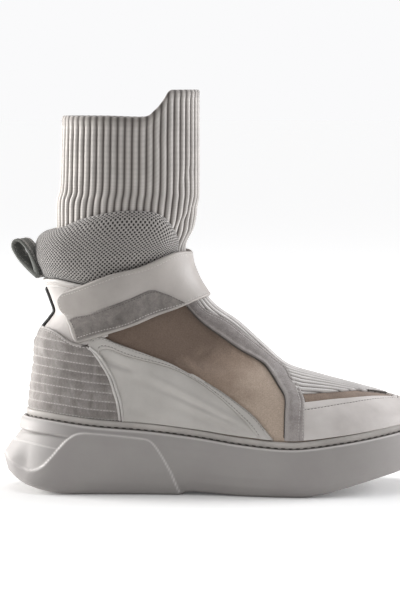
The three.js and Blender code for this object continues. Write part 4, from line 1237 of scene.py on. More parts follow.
# %% Nubuck shell
SHELL_FOLDS = [
    (92, 118, 104, 98, 3.5, -0.35), (70, 112, 96, 104, 3.0, -0.3), (102, 86, 120, 76, 4.0, -0.35),
    (126, 84, 137, 66, 3.0, -0.25), (80, 108, 112, 88, 4.5, 0.3),
]
shell_turns = even_columns(240, 3.0)


def shell_painted_shade(around, level):
    """Painted shade and light on the nap: 0 where shade is painted, under the strap and beside the knit near the toe,
    and 1 where light is painted, low and towards the front.
    """
    point = form_point(around, level)
    painted_lightness = np.clip((point[..., 0] - point[..., 2] + 43) / 125, 0, 1)
    return painted_lightness * (1 - 0.7 * smoothstep(point[..., 0], 152, 162))


shell = lay_grid(
    "nubuck_shell", shell_turns, np.linspace(0, TOPLINE, 60),
    lambda a, level: form(a, level, soft_folds(SHELL_FOLDS, form_point(a, level)) - 0.05),
    (100, 100), joined=True, back=UPPER_WALL, attributes={"wear_and_painted_light": shell_painted_shade},
)
dress(shell, brown_nubuck, "brown_nubuck", "upper")


# %% [markdown]
# ## The heel counter
# The counter is suede quilted over thin foam in level channels, 6.3 mm apart. Its seams pull
# the suede in, so each channel is a small pad. A pale thread runs in every seam.

# %% Heel counter
COUNTER_EDGE = [
    (0.145, 0.545), (0.168, 0.498), (0.187, 0.421), (0.205, 0.33), (0.216, 0.237), (0.226, 0.132), (0.234, -0.06),
]
RIB_PITCH, RIB_FIRST, COUNTER_TOP_BAND = 6.3, 8.6, 5.0
RIM_RADIUS, COUNTER_TOP = 1.25, 0.64


def kept_above(rail, level=OVERLAY_FOOT):
    """The part of a rail that lies above a level."""
    keep = rail.al[:, 1] >= level
    return Rail(rail.al[keep, 0], rail.al[keep, 1])


def shifted(corners, share=0.0, up=0.0):
    return [(s + share, u + up) for s, u in corners]


counter_right = kept_above(side_rail(side(COUNTER_EDGE[::-1]), count=200))
counter_back = float(on_side(-60.0, BED_BACK + COUNTER_TOP * SHELL_HEIGHT)[1])
counter = Panel(
    foot_rail(-60, float(form_point(*counter_right(0.0))[0])),
    side_rail([(-26, 115.4), (-20, 115.2), (-13.5, 112.8), (-7.5, 108.6), (-2, 106.0), side(COUNTER_EDGE)[0]]),
    Rail(np.zeros(60), np.linspace(OVERLAY_FOOT, counter_back, 60)),
    counter_right,
)
counter_high = counter.high(np.array([0.0, 0.5, 1.0]))
print("counter heights", counter_high.round(1), "width", counter.wide(0.5).round(1))


def counter_out(u, v, point, level):
    pad = CLEAR + lerp(OVERLAY, COUNTER_PAD, smoothstep(level, 4, 7.6)) - 0.3
    high = counter.high(u)
    up = point[..., 2] - bed_z(point[..., 0])
    channel = np.abs(np.sin(np.pi * (up - RIB_FIRST) / RIB_PITCH)) ** 0.8
    channel = np.where(up < RIB_FIRST - RIB_PITCH / 2, 1, channel)
    from_top = (1 - v) * high
    channel = np.where(
        from_top < COUNTER_TOP_BAND, 1 - 0.5 * np.exp(-(((from_top - COUNTER_TOP_BAND) / 0.7) ** 2)), channel
    )
    edge = rolled(np.minimum(from_top, (1 - u) * counter.wide(v)), 1.6)
    return (pad - 0.75 * (1 - channel) + 0.3) * edge


# A painted highlight along each quilting seam, stronger and weaker in turn along it.
def counter_seam_highlight(U, V):
    around, level = counter.al(np.abs(U), V)
    point = form_point(around, level)
    up = point[..., 2] - bed_z(point[..., 0])
    off = np.abs(((up - RIB_FIRST) / RIB_PITCH + 0.5) % 1 - 0.5) * RIB_PITCH
    line = np.exp(-((off / 0.5) ** 2)) * (
        0.5 + 0.2 * np.sin(21 * around + 5 * up) + 0.15 * np.sin(57 * around - 3 * up)
    )
    return np.where((up > RIB_FIRST - 1) & ((1 - V) * counter.high(np.abs(U)) > COUNTER_TOP_BAND - 1), line, 0)


half = edge_rows(float(counter.wide(0.5)), 1.5, start=False)
both = np.r_[-half[::-1], half[1:]]
counter_vs = edge_rows(float(counter_high[1]), 0.62, start=False)
counter_piece = lay_grid(
    "quilted_heel_counter", both, counter_vs,
    lambda U, V: counter.at(np.abs(U), V, counter_out, inner=U > 0), (90, 60),
    attributes={"painted_seam_light": counter_seam_highlight},
)
dress(counter_piece, counter_suede, "grey_suede", "heel_counter")
for n in range(9):
    up = RIB_FIRST + n * RIB_PITCH
    t = np.linspace(-1, 1, 160)
    rows = np.linspace(0, 1, 120)
    around, level = counter.al(np.abs(t)[None, :], rows[:, None])
    heights = form_point(around, level)
    heights = heights[..., 2] - bed_z(heights[..., 0])
    v = np.array([np.interp(up, heights[:, k], rows, left=-1, right=2) for k in range(len(t))])
    ok = (v > 0) & ((1 - v) * counter.high(np.abs(t)) > COUNTER_TOP_BAND) & (np.abs(t) < 0.97)
    if ok.sum() > 20:
        t, v = t[ok], v[ok]
        sew_on("light", counter, np.abs(t), v, counter_out, 0.15, t > 0, 2.3, 1.7, 0.5, 0.35)
t = np.linspace(-0.97, 0.97, 200)
v = 1 - 2.2 / counter.high(np.abs(t))
sew_on("light", counter, np.abs(t), v, counter_out, 0.05, t > 0, 2.6, 1.8, 0.6, 0.4)
v = 1 - 0.5 / counter.high(np.abs(t))
rim_line = tube("counter_rim", lambda out: counter.at(np.abs(t), v, out, inner=t > 0), 2.0, RIM_RADIUS, 1.9)
dress(rim_line, rim_suede, "grey_suede")


# %% [markdown]
# ## Quarters
# Each quarter is one panel of waxed leather. Its slanted edge is folded over and sewn twice,
# which leaves a thicker strip there, and the leather drapes from under the strap in long
# soft folds. The creases are given one by one in the side view.

# %% Quarters
QUARTER_TOP = [(0.205, 0.604), (0.304, 0.492), (0.43, 0.311), (0.508, 0.18), (0.562, 0.066), (0.62, -0.12)]
QUARTER_FOLDS = [
    (15, 97, 40, 88, 2.4, -1.5), (22, 102, 42, 94, 2.2, 0.55), (18, 88, 31, 66, 2.8, -0.6),
    (50, 85, 124, 48, 2.3, 0.95), (56, 76, 94, 59, 2.3, -1.0), (64, 71, 120, 45, 2.1, 0.9),
    (70, 62, 110, 45, 2.6, -0.6), (34, 84, 60, 76, 3.2, -0.4), (42, 66, 78, 52, 4.0, 0.4),
    (34, 62, 64, 50, 3.6, -0.35),
]
quarter_top = kept_above(side_rail(side([(0.147, 0.565), (0.162, 0.625), (0.185, 0.628), *QUARTER_TOP]), count=300))
quarter_left = kept_above(side_rail(side(shifted(COUNTER_EDGE, 0.003)[::-1]), count=200))
tip = quarter_top.al[-1]
quarter = Panel(
    Rail(np.linspace(quarter_left.al[0, 0], tip[0], 90), np.full(90, OVERLAY_FOOT)),
    quarter_top, quarter_left, Rail([tip[0], tip[0] + 1e-6], [tip[1], tip[1]]),
)
FOLDED, FIRST_ROW, SECOND_ROW = 10.4, 2.4, 8.8


def quarter_out(u, v, point, level):
    high = np.maximum(quarter.high(u), 0.5)
    from_top = (1 - v) * high
    strip = 0.9 * (1 - smoothstep(from_top, FOLDED - 0.4, FOLDED + 0.4))
    pulled = -0.35 * sum(np.exp(-(((from_top - row) / 0.6) ** 2)) for row in (FIRST_ROW, SECOND_ROW))
    pulled = pulled - 0.45 * np.exp(-(((from_top - FOLDED - 0.7) / 0.5) ** 2))
    edge = rolled(np.minimum(from_top, u * quarter.wide(v)), 1.3)
    drape = soft_folds(QUARTER_FOLDS, point) * smoothstep(from_top, FOLDED - 1, FOLDED + 3)
    return np.maximum((CLEAR + OVERLAY + strip + pulled) * edge + drape, 0.25 * edge)


quarter_us = edge_rows(float(quarter.wide(0.3)), 1.3, end=False)
quarter_vs = edge_rows(float(quarter.high(0.15)), 0.9, start=False)
quarter_vs = np.unique(np.r_[quarter_vs, np.linspace(0.55, 0.8, 26), np.linspace(0.8, 0.94, 26)])
for name, inner, node in (
    ("quarter_leather_outer", False, "quarter_outer"), ("quarter_leather_inner", True, "quarter_inner")
):
    piece = lay_grid(
        name, quarter_us, quarter_vs, lambda U, V, i=inner: quarter.at(U, V, quarter_out, inner=i), (110, 55),
        facing=(0, 1 if inner else -1, 0),
    )
    dress(piece, quarter_leather, "light_leather", node)
    for inset in (FIRST_ROW, SECOND_ROW):
        u = np.linspace(0.03, 0.93, 260)
        u = u[quarter.high(u) > inset + 2]
        v = 1 - inset / quarter.high(u)
        sew_on("mid", quarter, u, v, quarter_out, 0.1, inner, 2.5, 1.7, 0.55, 0.4)

# %% Piping between counter and quarter
piping = []
for inner in (False, True):
    t = np.linspace(0, 0.99, 160)
    for shift in (-0.0025, 0.0055):
        al = kept_above(side_rail(side(shifted(COUNTER_EDGE, shift)[::-1]), count=200), 1.25)(t)
        around = TURN - al[:, 0] if inner else al[:, 0]
        lift = lerp(1.7, 2.6, smoothstep(al[:, 1], 4, 7.6))
        piping.append(tube("edge_piping", lambda out: form(around, al[:, 1], out), lift, 1.0, 0.95))
edge_piping = join("counter_piping", *piping)
dress(edge_piping, piping_leather, "light_leather")


# %% [markdown]
# ## Side bands
# A suede band runs down each side of the throat and turns down to the sole. Its rear edge is
# bound with a dark line, and a narrower strip is stitched along its front edge.

# %% Side bands
BAND_REAR = [
    (0.39, 0.83), (0.429, 0.711), (0.479, 0.606), (0.529, 0.507), (0.585, 0.411), (0.605, 0.346),
    (0.625, 0.262), (0.639, 0.19), (0.639, 0.084), (0.636, -0.3),
]
BAND_SIDE = [(0.686, -0.3), (0.69, 0.108), (0.689, 0.171), (0.678, 0.245)]
THROAT = [
    (0.38, 0.16), (0.436, 0.15), (0.479, 0.12), (0.53, 0.1), (0.58, 0.077), (0.611, 0.068), (0.632, 0.083),
    (0.644, 0.13), (0.656, 0.245),
]
rear = kept_above(side_rail(side(BAND_REAR[::-1]), count=300))
low_part = side_rail(side(BAND_SIDE), count=120)
throat = resample([(float(foot_x(s)), half * BALL_WIDTH) for s, half in THROAT[::-1]], 160)
high_part = np.stack(on_top(throat[:, 0], throat[:, 1]), -1)
joined_line = np.concatenate([low_part.al, high_part[6:]])
spots = form(joined_line[:, 0], joined_line[:, 1])
fore = kept_above(Rail(*resample(np.c_[spots, joined_line * 30], 400)[:, 3:].T / 30))
band = Panel(
    Rail(np.linspace(rear.al[0, 0], fore.al[0, 0], 30), np.full(30, OVERLAY_FOOT)),
    Rail(np.linspace(rear.al[-1, 0], fore.al[-1, 0], 30), np.linspace(rear.al[-1, 1], fore.al[-1, 1], 30)),
    rear, fore,
)
band_long, band_wide = float(band.high(0.5)), float(band.wide(0.4))
EDGE_STRIP = 3.6
print("band", round(band_long, 1), "x", round(band_wide, 1), "mm")


def band_out(u, v, point, level):
    wide = np.maximum(band.wide(v), 1)
    from_fore = (1 - u) * wide
    groove = -0.55 * np.exp(-(((from_fore - EDGE_STRIP) / 0.5) ** 2)) * (1 - 0.5 * smoothstep(v, 0.45, 0.6))
    crown = 0.35 * np.sin(np.pi * np.clip((u * wide - 1) / (wide - EDGE_STRIP - 1), 0, 1))
    return (CLEAR + BAND_THICK + groove + crown) * rolled(np.minimum(from_fore, u * wide), 1.4)


def band_painted_light(U, V):
    """Painted shade at the instep, near the strap, and painted light at the foot, with painted highlights along both
    edges.
    """
    wide = np.maximum(band.wide(V), 1)
    edge = np.exp(-(((U * wide - 1.6) / 1.1) ** 2)) + 0.8 * np.exp(-((((1 - U) * wide - 2.2) / 0.9) ** 2))
    return np.clip(0.85 - 0.75 * V + 0.45 * edge, 0, 1)


band_us = edge_rows(band_wide, 0.55)
band_vs = edge_rows(band_long, 1.1, start=False)
binding = []
for name, inner, node in (
    ("suede_band_outer", False, "side_band_outer"), ("suede_band_inner", True, "side_band_inner")
):
    piece = lay_grid(
        name, band_us, band_vs, lambda U, V, i=inner: band.at(U, V, band_out, inner=i), (band_wide, band_long),
        facing=(0, 1 if inner else -1, 0), attributes={"wear_and_painted_light": band_painted_light},
    )
    dress(piece, grey_suede, "grey_suede", node)
    v = np.linspace(0.01, 0.985, 300)
    for inset, width in ((1.5, 0.55), (EDGE_STRIP + 1.1, 0.45)):
        sew_on("light", band, 1 - inset / band.wide(v), v, band_out, 0.1, inner, 2.2, 1.5, width, 0.4)
    for side_u, radius in ((0.006, 0.55), (0.994, 0.4)):
        edge = tube("band_binding", lambda out: band.at(side_u, v, out, inner), 0.75, radius, radius * 1.2, sides=8)
        binding.append(edge)
band_binding = join("band_dark_edges", *binding)
dark_edge = leather("dark cut edge", "#47423e", "#524d49", "#5d5753", rough=0.7)
dress(band_binding, dark_edge, "grey_suede")


# %% [markdown]
# ## Toe guard
# The toe guard is one pale leather panel wrapped round the toe. It is cut in halves that are
# mirror images on the form, and drawn as one grid across the toe's middle line.

# %% Toe guard
GUARD_TOP = [
    (0.682, 0.156), (0.694, 0.158), (0.74, 0.166), (0.78, 0.17), (0.855, 0.17), (0.9, 0.158), (0.915, 0.15),
]
guard_side = side_rail(side(GUARD_TOP), count=120)
across_x, across_level = foot_x(0.917), np.linspace(guard_side.al[-1, 1], 3.995, 40)
across_around = turn_at(across_x, *ring_at(across_level)[:2])
guard_top_al = np.concatenate([guard_side.al, np.stack([across_around, across_level], -1)[2:], [[np.pi, 4.0]]])
guard_x, guard_z = side(GUARD_TOP)[0]
guard = Panel(
    foot_rail(guard_x, 400), Rail(*guard_top_al.T),
    kept_above(side_rail([(guard_x, 30), (guard_x, guard_z)], smooth=False, count=160)),
    Rail(np.full(60, np.pi), np.linspace(OVERLAY_FOOT, 4.0, 60)),
)


def guard_seam(u):
    """How far the stitched line lies under the guard's top edge."""
    return lerp(6.3, 4.0, smoothstep(u, 0.05, 0.75))


def guard_out(u, v, point, level):
    high = guard.high(u)
    from_top = (1 - v) * high
    pulled = -0.4 * np.exp(-(((from_top - guard_seam(u)) / 0.55) ** 2))
    folds = [(166, 60, 196, 52, 4.0, 0.3), (172, 52, 210, 58, 5.0, -0.3), (196, 62, 222, 58, 4.0, 0.25)]
    edge = rolled(np.minimum(from_top, u * guard.wide(v)), 1.3)
    return (CLEAR + OVERLAY + pulled) * edge + soft_folds(folds, point)


half = edge_rows(float(guard.wide(0.5)), 1.4, end=False)
guard_us = np.r_[half - 1, (1 - half[::-1])[1:]]
guard_piece = lay_grid(
    "toe_guard_leather", guard_us, np.unique(np.r_[edge_rows(26.0, 0.8, start=False), np.linspace(0.6, 0.88, 44)]),
    lambda U, V: guard.at(1 - np.abs(U), V, guard_out, inner=U > 0), (120, 26),
)
dress(guard_piece, toe_leather, "light_leather", "toe_guard")
u = np.linspace(-0.99, 0.99, 500)
v = 1 - guard_seam(1 - np.abs(u)) / guard.high(1 - np.abs(u))
sew_on("dark", guard, 1 - np.abs(u), v, guard_out, 0.0, u > 0, 2.5, 2.1, 0.6, 0.45)


# %% [markdown]
# ## The vamp's ribbed knit
# The knit starts at a bound point on the toe and widens to the bands, and a narrow strip of
# it goes on up the instep. Its ribs run beside the middle line and narrow to the toe, and what
# lies beyond the bands' front edges is cut away.

# %% Vamp knit
TIP_X, WIDE_END, RIB_WIDTH = 221.0, 158, 4.7
stations = np.r_[np.linspace(TIP_X, WIDE_END, 62), np.linspace(157, 79, 66)]
front_table = ring_at(np.linspace(1, 12, 2200))[1]
ridge = np.interp(-stations, -front_table, np.linspace(1, 12, 2200))
dips = np.linspace(0, 1, 150)
levels = ridge[:, None] - (ridge[:, None] - 1.0) * dips[None, :] ** 2
turn = turn_at(stations[:, None], *ring_at(levels)[:2])
turn[:, 0] = np.pi
section = form(turn, levels)
arc = np.concatenate(
    [np.zeros((len(stations), 1)), np.cumsum(np.linalg.norm(np.diff(section, axis=1), axis=-1), axis=1)], 1
)
low_edge = through([(WIDE_END, 71.2), (185, 71.5), (205, 71.0), (TIP_X, 69.8)], stations)
low_edge = np.minimum(low_edge, section[:, 0, 2] - 1.6)
reach = np.array([np.interp(-low_edge[k], -section[k, :, 2], arc[k]) for k in range(len(stations))])
wide_part = stations >= WIDE_END
reach[wide_part] = np.minimum(reach[wide_part], 42 * ((TIP_X - stations[wide_part]) / (TIP_X - WIDE_END)) ** 0.95)
reach[~wide_part] = reach[wide_part][-1]
print("knit half width at the bands", reach[wide_part][-1].round(1))


def knit_al(U, V):
    n = np.rint(V * (len(stations) - 1)).astype(int)
    along_arc = np.abs(U) * reach[n]
    place = np.array([np.interp(s, arc[k], dips) for s, k in zip(along_arc, n)])
    level = ridge[n] - (ridge[n] - 1.0) * place**2
    return np.where(place < 1e-9, np.pi, turn_at(stations[n], *ring_at(level)[:2])), level


def rib_shape(U, V):
    """1 on a rib, 0 in the groove beside it. The ribs run beside the middle line and narrow to the toe."""
    n = np.rint(V * (len(stations) - 1)).astype(int)
    pitch = RIB_WIDTH * lerp(0.5, 1, np.clip((TIP_X - stations[n]) / (TIP_X - WIDE_END), 0, 1))
    return np.abs(np.cos(np.pi * U * reach[n] / pitch)) ** 0.8


throat_half = through([(float(foot_x(s)), half * BALL_WIDTH) for s, half in THROAT], stations[::-1])[::-1]


def vamp_place(U, V):
    around, level = knit_al(U, V)
    n = np.rint(V * (len(stations) - 1)).astype(int)
    aside = np.abs(form_point(around, level)[..., 1] - swing(stations[n]))
    hidden = smoothstep(aside - throat_half[n], -0.8, 0.8) * (1 - smoothstep(stations[n], 146, 152))
    depth = 1.3 * np.clip(reach[n] / 12, 0.2, 1)
    edge = rolled(np.minimum((1 - np.abs(U)) * np.maximum(reach[n], 0.1), (TIP_X - stations[n]) + 0.2), 1.2)
    out = (CLEAR + OVERLAY + 0.5 - depth * (1 - rib_shape(U, V))) * np.where(stations[n] > WIDE_END, edge, 1)
    return form(np.where(U > 0, TURN - around, around), level, lerp(out, 0.15, hidden))


# The rib attribute paints shade in the knit's grooves.
vamp = lay_grid(
    "vamp_rib_knit", np.linspace(-1, 1, 177), np.linspace(0, 1, len(stations)), vamp_place, (84, 150), back=0,
    attributes={"rib": rib_shape},
)
# What lies beyond the bands' front edges goes, apart from a margin under them.
bm = bmesh.new()
bm.from_mesh(vamp.data)
gone = []
for face in bm.faces:
    centre = face.calc_center_median() / MM
    allowed = np.interp(centre.x, stations[::-1], throat_half[::-1] + 2.6) if centre.x < 150 else 200
    allowed = lerp(allowed, 200, float(smoothstep(centre.x, 149, 157))) if centre.x > 149 else allowed
    if abs(centre.y - float(swing(centre.x))) > allowed:
        gone.append(face)
bmesh.ops.delete(bm, geom=gone, context="FACES")
bm.to_mesh(vamp.data)
bm.free()
bpy.context.view_layer.objects.active = vamp
wall = vamp.modifiers.new("thickness", "SOLIDIFY")
wall.thickness, wall.offset = 1.2 * MM, -1
bpy.ops.object.modifier_apply(modifier=wall.name)
dress(vamp, vamp_knit, "rib_knit", "vamp_insert")
V = np.flatnonzero(stations > 205) / (len(stations) - 1)
around, level = knit_al(np.full(len(V), 0.96), V)
tips = [
    tube("tip_edge", lambda out, turn=turn: form(turn, level, out), 1.1, 0.6, 0.7, sides=8)
    for turn in (around, TURN - around)
]
tip_binding = join("vamp_tip_binding", *tips)
dress(tip_binding, dark_edge, "grey_suede")


# %% [markdown]
# ## Heel saddle and back binding
# Pale leather closes the pinched back between the counter and the collar. A black binding
# runs down its middle, and two pale pipings close it under the collar.

# %% Heel saddle
SADDLE_END = (21.5, 112.2)
SADDLE_TOP, PIPE_TOP, PIPE_LOW = 11.93, 11.96, 11.66  # levels at the back
saddle_low = side_rail([(-30, 114.0), (-24, 114.1), (-15.8, 111.9), (-3.1, 104.8), (4.5, 105.0), SADDLE_END])


def collar_dip(turn):
    """How far, in levels, the collar's lower seam sinks from the back to the sides."""
    return 0.42 * smoothstep(np.abs(turn), 0.55, 1.25)


top_end = foot_rail(-60, SADDLE_END[0], 11.5)(1.0)[0]
top_turn = np.linspace(0, top_end, 90)
saddle_top = Rail(top_turn, SADDLE_TOP - collar_dip(top_turn))
saddle_high = float(form_point(*saddle_top(1.0))[2])
saddle = Panel(
    saddle_low, saddle_top,
    Rail(np.zeros(60), np.linspace(saddle_low.al[0, 1], saddle_top.al[0, 1], 60)),
    Rail(*on_side(np.full(60, SADDLE_END[0]), np.linspace(SADDLE_END[1], saddle_high, 60))),
)


def saddle_out(u, v, point, level):
    high = saddle.high(u)
    folds = [(-14, 128, 8, 124, 2.5, -0.6), (-12, 137, 10, 132, 3.0, 0.4), (-16, 143, 6, 139, 2.2, -0.45)]
    return (CLEAR + OVERLAY) * rolled(np.minimum(v, 1 - v) * high, 1.2) + soft_folds(folds, point)


half = edge_rows(float(saddle.wide(0.5)), 1.4, start=False)
saddle_piece = lay_grid(
    "heel_saddle_leather", np.r_[-half[::-1], half[1:]], edge_rows(float(saddle.high(0.3)), 1.0),
    lambda U, V: saddle.at(np.abs(U), V, saddle_out, inner=U > 0), (90, 34),
)
dress(saddle_piece, saddle_leather, "light_leather", "heel_saddle")
level = np.linspace(counter_back - 0.25, PIPE_LOW, 80)
back_binding = tube("back_binding", lambda out: form(0 * level, level, out), 1.9, 2.2, 1.9)
dress(back_binding, black_binding, "light_leather")
pipes = []
for low_level, out, radius in ((PIPE_TOP, 2.0, 1.4), (PIPE_LOW, 1.75, 0.75)):
    turn = np.linspace(-0.62 * np.pi, 0.62 * np.pi, 260)
    dip = low_level - collar_dip(turn)
    pipes.append(tube("collar_piping", lambda lift: form(turn, dip, lift), out, radius, radius * 0.9))
dress(join("collar_pipings", *pipes), piping_leather, "light_leather")


# %% [markdown]
# ## The padded collar
# Foam rolls in a sleeve of spacer mesh fill the collar: thin at the sides, thick behind the
# tendon, open at the front. Its section is a pad whose two skins meet at the edges.

# %% Ankle collar
COLLAR_TOP = [
    (-0.12, 0.235), (0.1, 0.275), (0.25, 0.325), (0.4, 0.355), (0.55, 0.372), (0.68, 0.37),
    (0.77, 0.36), (0.83, 0.335), (0.88, 0.29), (0.93, 0.21), (0.95, 0.15),
]
PAD_ROWS = [
    (0.0, 0.08), (0.04, 0.2), (0.15, 0.42), (0.37, 0.8), (0.62, 1.0), (0.82, 0.93), (0.92, 0.72), (0.975, 0.42),
    (1.0, 0.04),
]
COLLAR_END, COLLAR_PAD, COLLAR_SIDE, KNIT_CLEAR = 0.835, 13.5, 5.0, 0.6


def shaft_skin(level):
    return -(UPPER_WALL + KNIT_CLEAR) * (1 - smoothstep(level, TOPLINE, TOPLINE + 1))


def level_under(height, around, low, high=SHAFT_END):
    """The level at which the form reaches height(x), which may be a function of x."""

    def below(level):
        point = form_point(around, level)
        return point[..., 2] < height(point[..., 0])

    return turning_point(below, low, high, around.shape, rounds=36)


collar_turns = np.linspace(-1, 1, 221)
around = -collar_turns * COLLAR_END * np.pi
collar_top_level = level_under(
    lambda x: TOP_Z + through(COLLAR_TOP, (x - TOP_BACK) / ANKLE_LENGTH) * SHAFT_HEIGHT, around, TOPLINE + 0.05)
collar_low = TOPLINE + 0.02 + CLEAR / (0.075 * SHAFT_HEIGHT)
turn_share = 1 - np.abs(collar_turns) * COLLAR_END
pad = lerp(COLLAR_SIDE, COLLAR_PAD, turn_share**3) * (1 - 0.4 * smoothstep(np.abs(collar_turns), 0.82, 1))
end_fullness = rolled((1 - np.abs(collar_turns)) * 105, 5.5)
outside, inside = [], []
for up in np.unique(np.r_[np.linspace(0, 1, 30), 0.02, 0.05, 0.95, 0.98]):
    level = lerp(collar_low, collar_top_level, up)
    ripple = 0.22 * np.sin(around * 9 + 3 * up) * np.sin(np.pi * up) * turn_share
    inner_out = shaft_skin(level) - 0.2
    full = (through(PAD_ROWS, up) * pad + ripple) * end_fullness
    sunk = level - collar_dip(around) * (1 - smoothstep(up, 0, 0.5))
    outside.append(form(around, sunk, np.maximum(full, inner_out + 0.2)))
    inside.append(form(around, level, inner_out))
collar_table = outside + inside[::-3] + [outside[0]]
collar = lay_grid("spacer_mesh_collar", np.linspace(0, 1, len(around)), np.linspace(0, 1, len(collar_table)),
                  from_table(collar_table), (235, 100), joined=True, back=0, facing=(0, 0, 0))
face_outwards()
dress(collar, spacer_mesh, "spacer_mesh", "ankle_collar")


# %% [markdown]
# ## The knit shaft
# The shaft is a tube of rib knit, 52 ribs round, with a higher tab at its front. Every rib is
# a rounded column over a narrow sunk one, and the knit folds where the tab meets the instep.

# %% Knit shaft
SHAFT_RIBS, RIB_SAMPLES, SHAFT_RISE, SHAFT_ROUND = 52, 8, 118, 236
shaft_turns = even_columns(SHAFT_RIBS * RIB_SAMPLES, 15.0)
rim = TOP_Z + SHAFT_HEIGHT - RIM_DROP
tab_top = TOP_Z + SHAFT_HEIGHT
RIM_LINE = [
    (-0.5, rim + 0.6), (0.4, rim), (0.66, rim - 0.8), (0.72, rim + 0.4), (0.755, rim + 3.2), (0.81, rim + 9),
    (0.865, tab_top - 1.2), (0.9, tab_top), (1.5, tab_top),
]
rim_level = level_under(lambda x: through(RIM_LINE, (x - TOP_BACK) / ANKLE_LENGTH), shaft_turns, 14)
shaft_foot = TOPLINE - 15 / (0.11 * SHELL_HEIGHT)
SHAFT_CREASES = [
    (78, 196, 62, 176, 2.8, -1.6), (80, 188, 66, 170, 2.5, 0.9), (84, 206, 74, 182, 3.0, -1.0),
    (70, 214, 82, 232, 4.0, -0.6), (-8, 214, 14, 206, 5.0, -0.8), (48, 262, 62, 246, 4.0, -0.5),
]


def shaft_rib(U):
    return np.abs(np.cos(np.pi * SHAFT_RIBS * U)) ** 1.1


def shaft_rib_shade(U, V):
    """The rib's height for the colour, which paints shade in the sunk columns, with a little more shade at the hem.
    """
    return shaft_rib(U) * (0.55 + 0.45 * smoothstep(1 - V, 0.005, 0.03))


def shaft_place(U, V):
    n = np.rint(U * (len(shaft_turns) - 1)).astype(int)
    level = lerp(shaft_foot, rim_level[n], V)
    from_top = (1 - V) * SHAFT_RISE
    hem = 1 - smoothstep(from_top, 2.0, 4.0)
    sunk = 1.35 * (1 - shaft_rib(U)) * (1 - 0.75 * hem)
    folds = soft_folds(SHAFT_CREASES, form_point(shaft_turns[n], level)) * smoothstep(level, 13, 14)
    roll = -1.1 * (1 - rolled(from_top, 1.3))
    return form(shaft_turns[n], level, shaft_skin(level) - sunk - 0.1 + roll + folds)


shaft = lay_grid(
    "rib_knit_shaft", np.linspace(0, 1, len(shaft_turns)), edge_rows(SHAFT_RISE, 1.7, start=False), shaft_place,
    (SHAFT_ROUND, SHAFT_RISE),
    joined=True, back=1.9, attributes={"rib": shaft_rib_shade},
)
dress(shaft, shaft_knit, "rib_knit", "knit_shaft")


# %% [markdown]
# ## Strap and patch
# The strap is folded leather, 39.5 mm wide, with an edge stitch and a hook tape under its
# outer end. It runs over the instep and rises to the front. The suede patch is sewn on its
# outer end.

# %% Strap
STRAP_WIDTH, STRAP_THICK, STRAP_HALF = 39.5, 2.6, 128
PATCH_LENGTH, PATCH_HIGH = 92, 18
# across the strap, x of its outer end in the side view
STRAP_END = [(0, 1.5), (0.05, -2.2), (0.12, -3.6), (0.3, -6.2), (0.6, -9.9), (0.84, -12.3), (0.93, -11.4), (1, -7.5)]


def strap_point(along, across, out):
    """A point on the strap: along from the outer end (-1) over the front to the inner (1)."""
    along, across = np.broadcast_arrays(np.asarray(along, float), np.asarray(across, float))
    slope, middle = np.arctan(0.36), BED_BACK + 1.044 * SHELL_HEIGHT
    front = 1 - smoothstep(np.abs(along), 0, 0.35)
    offset = (across - 0.5) * STRAP_WIDTH * (1 - 0.07 * front) - 3.2 * front
    end = np.where(along < 0, np.interp(across, end_across, end_turn), 0.755 + 0.042 * (across - 0.5))
    around = np.pi + along * end * np.pi

    def below(level):
        point = form_point(around, level)
        return (point[..., 2] - middle) * np.cos(slope) - (point[..., 0] - foot_x(0.405)) * np.sin(slope) < offset

    return form(around, turning_point(below, 6, TOPLINE + 3, along.shape, rounds=34), out)


end_across = np.linspace(0, 1, 41)
end_turn = np.full(41, 0.755)
shorter, longer = np.full(41, 0.62), np.full(41, 0.9)
for _ in range(18):
    end_turn = (shorter + longer) / 2
    beyond = strap_point(-1.0, end_across, 3.0)[:, 0] < through(STRAP_END, end_across)
    shorter, longer = np.where(beyond, shorter, end_turn), np.where(beyond, end_turn, longer)
print("strap's outer end turns to", end_turn.min().round(3), "-", end_turn.max().round(3), "of half a round")


def strap_lift(along, across):
    aside = np.abs(along)
    low = lerp(OVERLAY, BAND_THICK, smoothstep(aside, 0.06, 0.14)) + 3 * CLEAR
    return lerp(low, COLLAR_SIDE + 2 * CLEAR, smoothstep(across, 0.2, 1) * smoothstep(aside, 0.05, 0.4))


def strap_face(along, across):
    """How far the strap's outer face stands off the form."""
    from_edge = np.minimum(np.minimum(across, 1 - across) * STRAP_WIDTH, (1 - np.abs(along)) * STRAP_HALF)
    stitched = -0.25 * np.exp(-(((from_edge - 2.6) / 0.6) ** 2))
    wave = 0.35 * np.sin(7 * along + 1.2) * np.sin(np.pi * across)
    wave = wave + 0.3 * np.sin(19 * along) * np.sin(np.pi * across) ** 2
    return strap_lift(along, across) + 1.0 + (STRAP_THICK - 1.0 + stitched) * rolled(from_edge, 1.4) + wave * 0.7


half = edge_rows(STRAP_HALF, 1.6, end=False)
strap = lay_grid(
    "closing_strap", np.r_[-1 + half, (1 - half[::-1])[1:]], edge_rows(STRAP_WIDTH, 1.2),
    lambda U, V: strap_point(U, V, strap_face(U, V)), (2 * STRAP_HALF, STRAP_WIDTH), back=1.7,
)
dress(strap, strap_leather, "light_leather", "strap")


def sew_strap(thread, along, across, over, *sizes):
    """A row of stitches on the strap, over mm above its face."""
    sew(thread, lambda out: strap_point(along, across, out), strap_face(along, across) + over, *sizes)


t = np.linspace(-0.975, 0.975, 500)
for across in (0.065, 0.935):
    sew_strap("light", t, 0 * t + across, 0.05, 2.4, 1.7, 0.55, 0.4)
t = np.linspace(0.08, 0.92, 60)
for sign in (-1, 1):
    sew_strap("light", sign * 0.979 + 0 * t, t, 0.05, 2.4, 1.7, 0.55, 0.4)

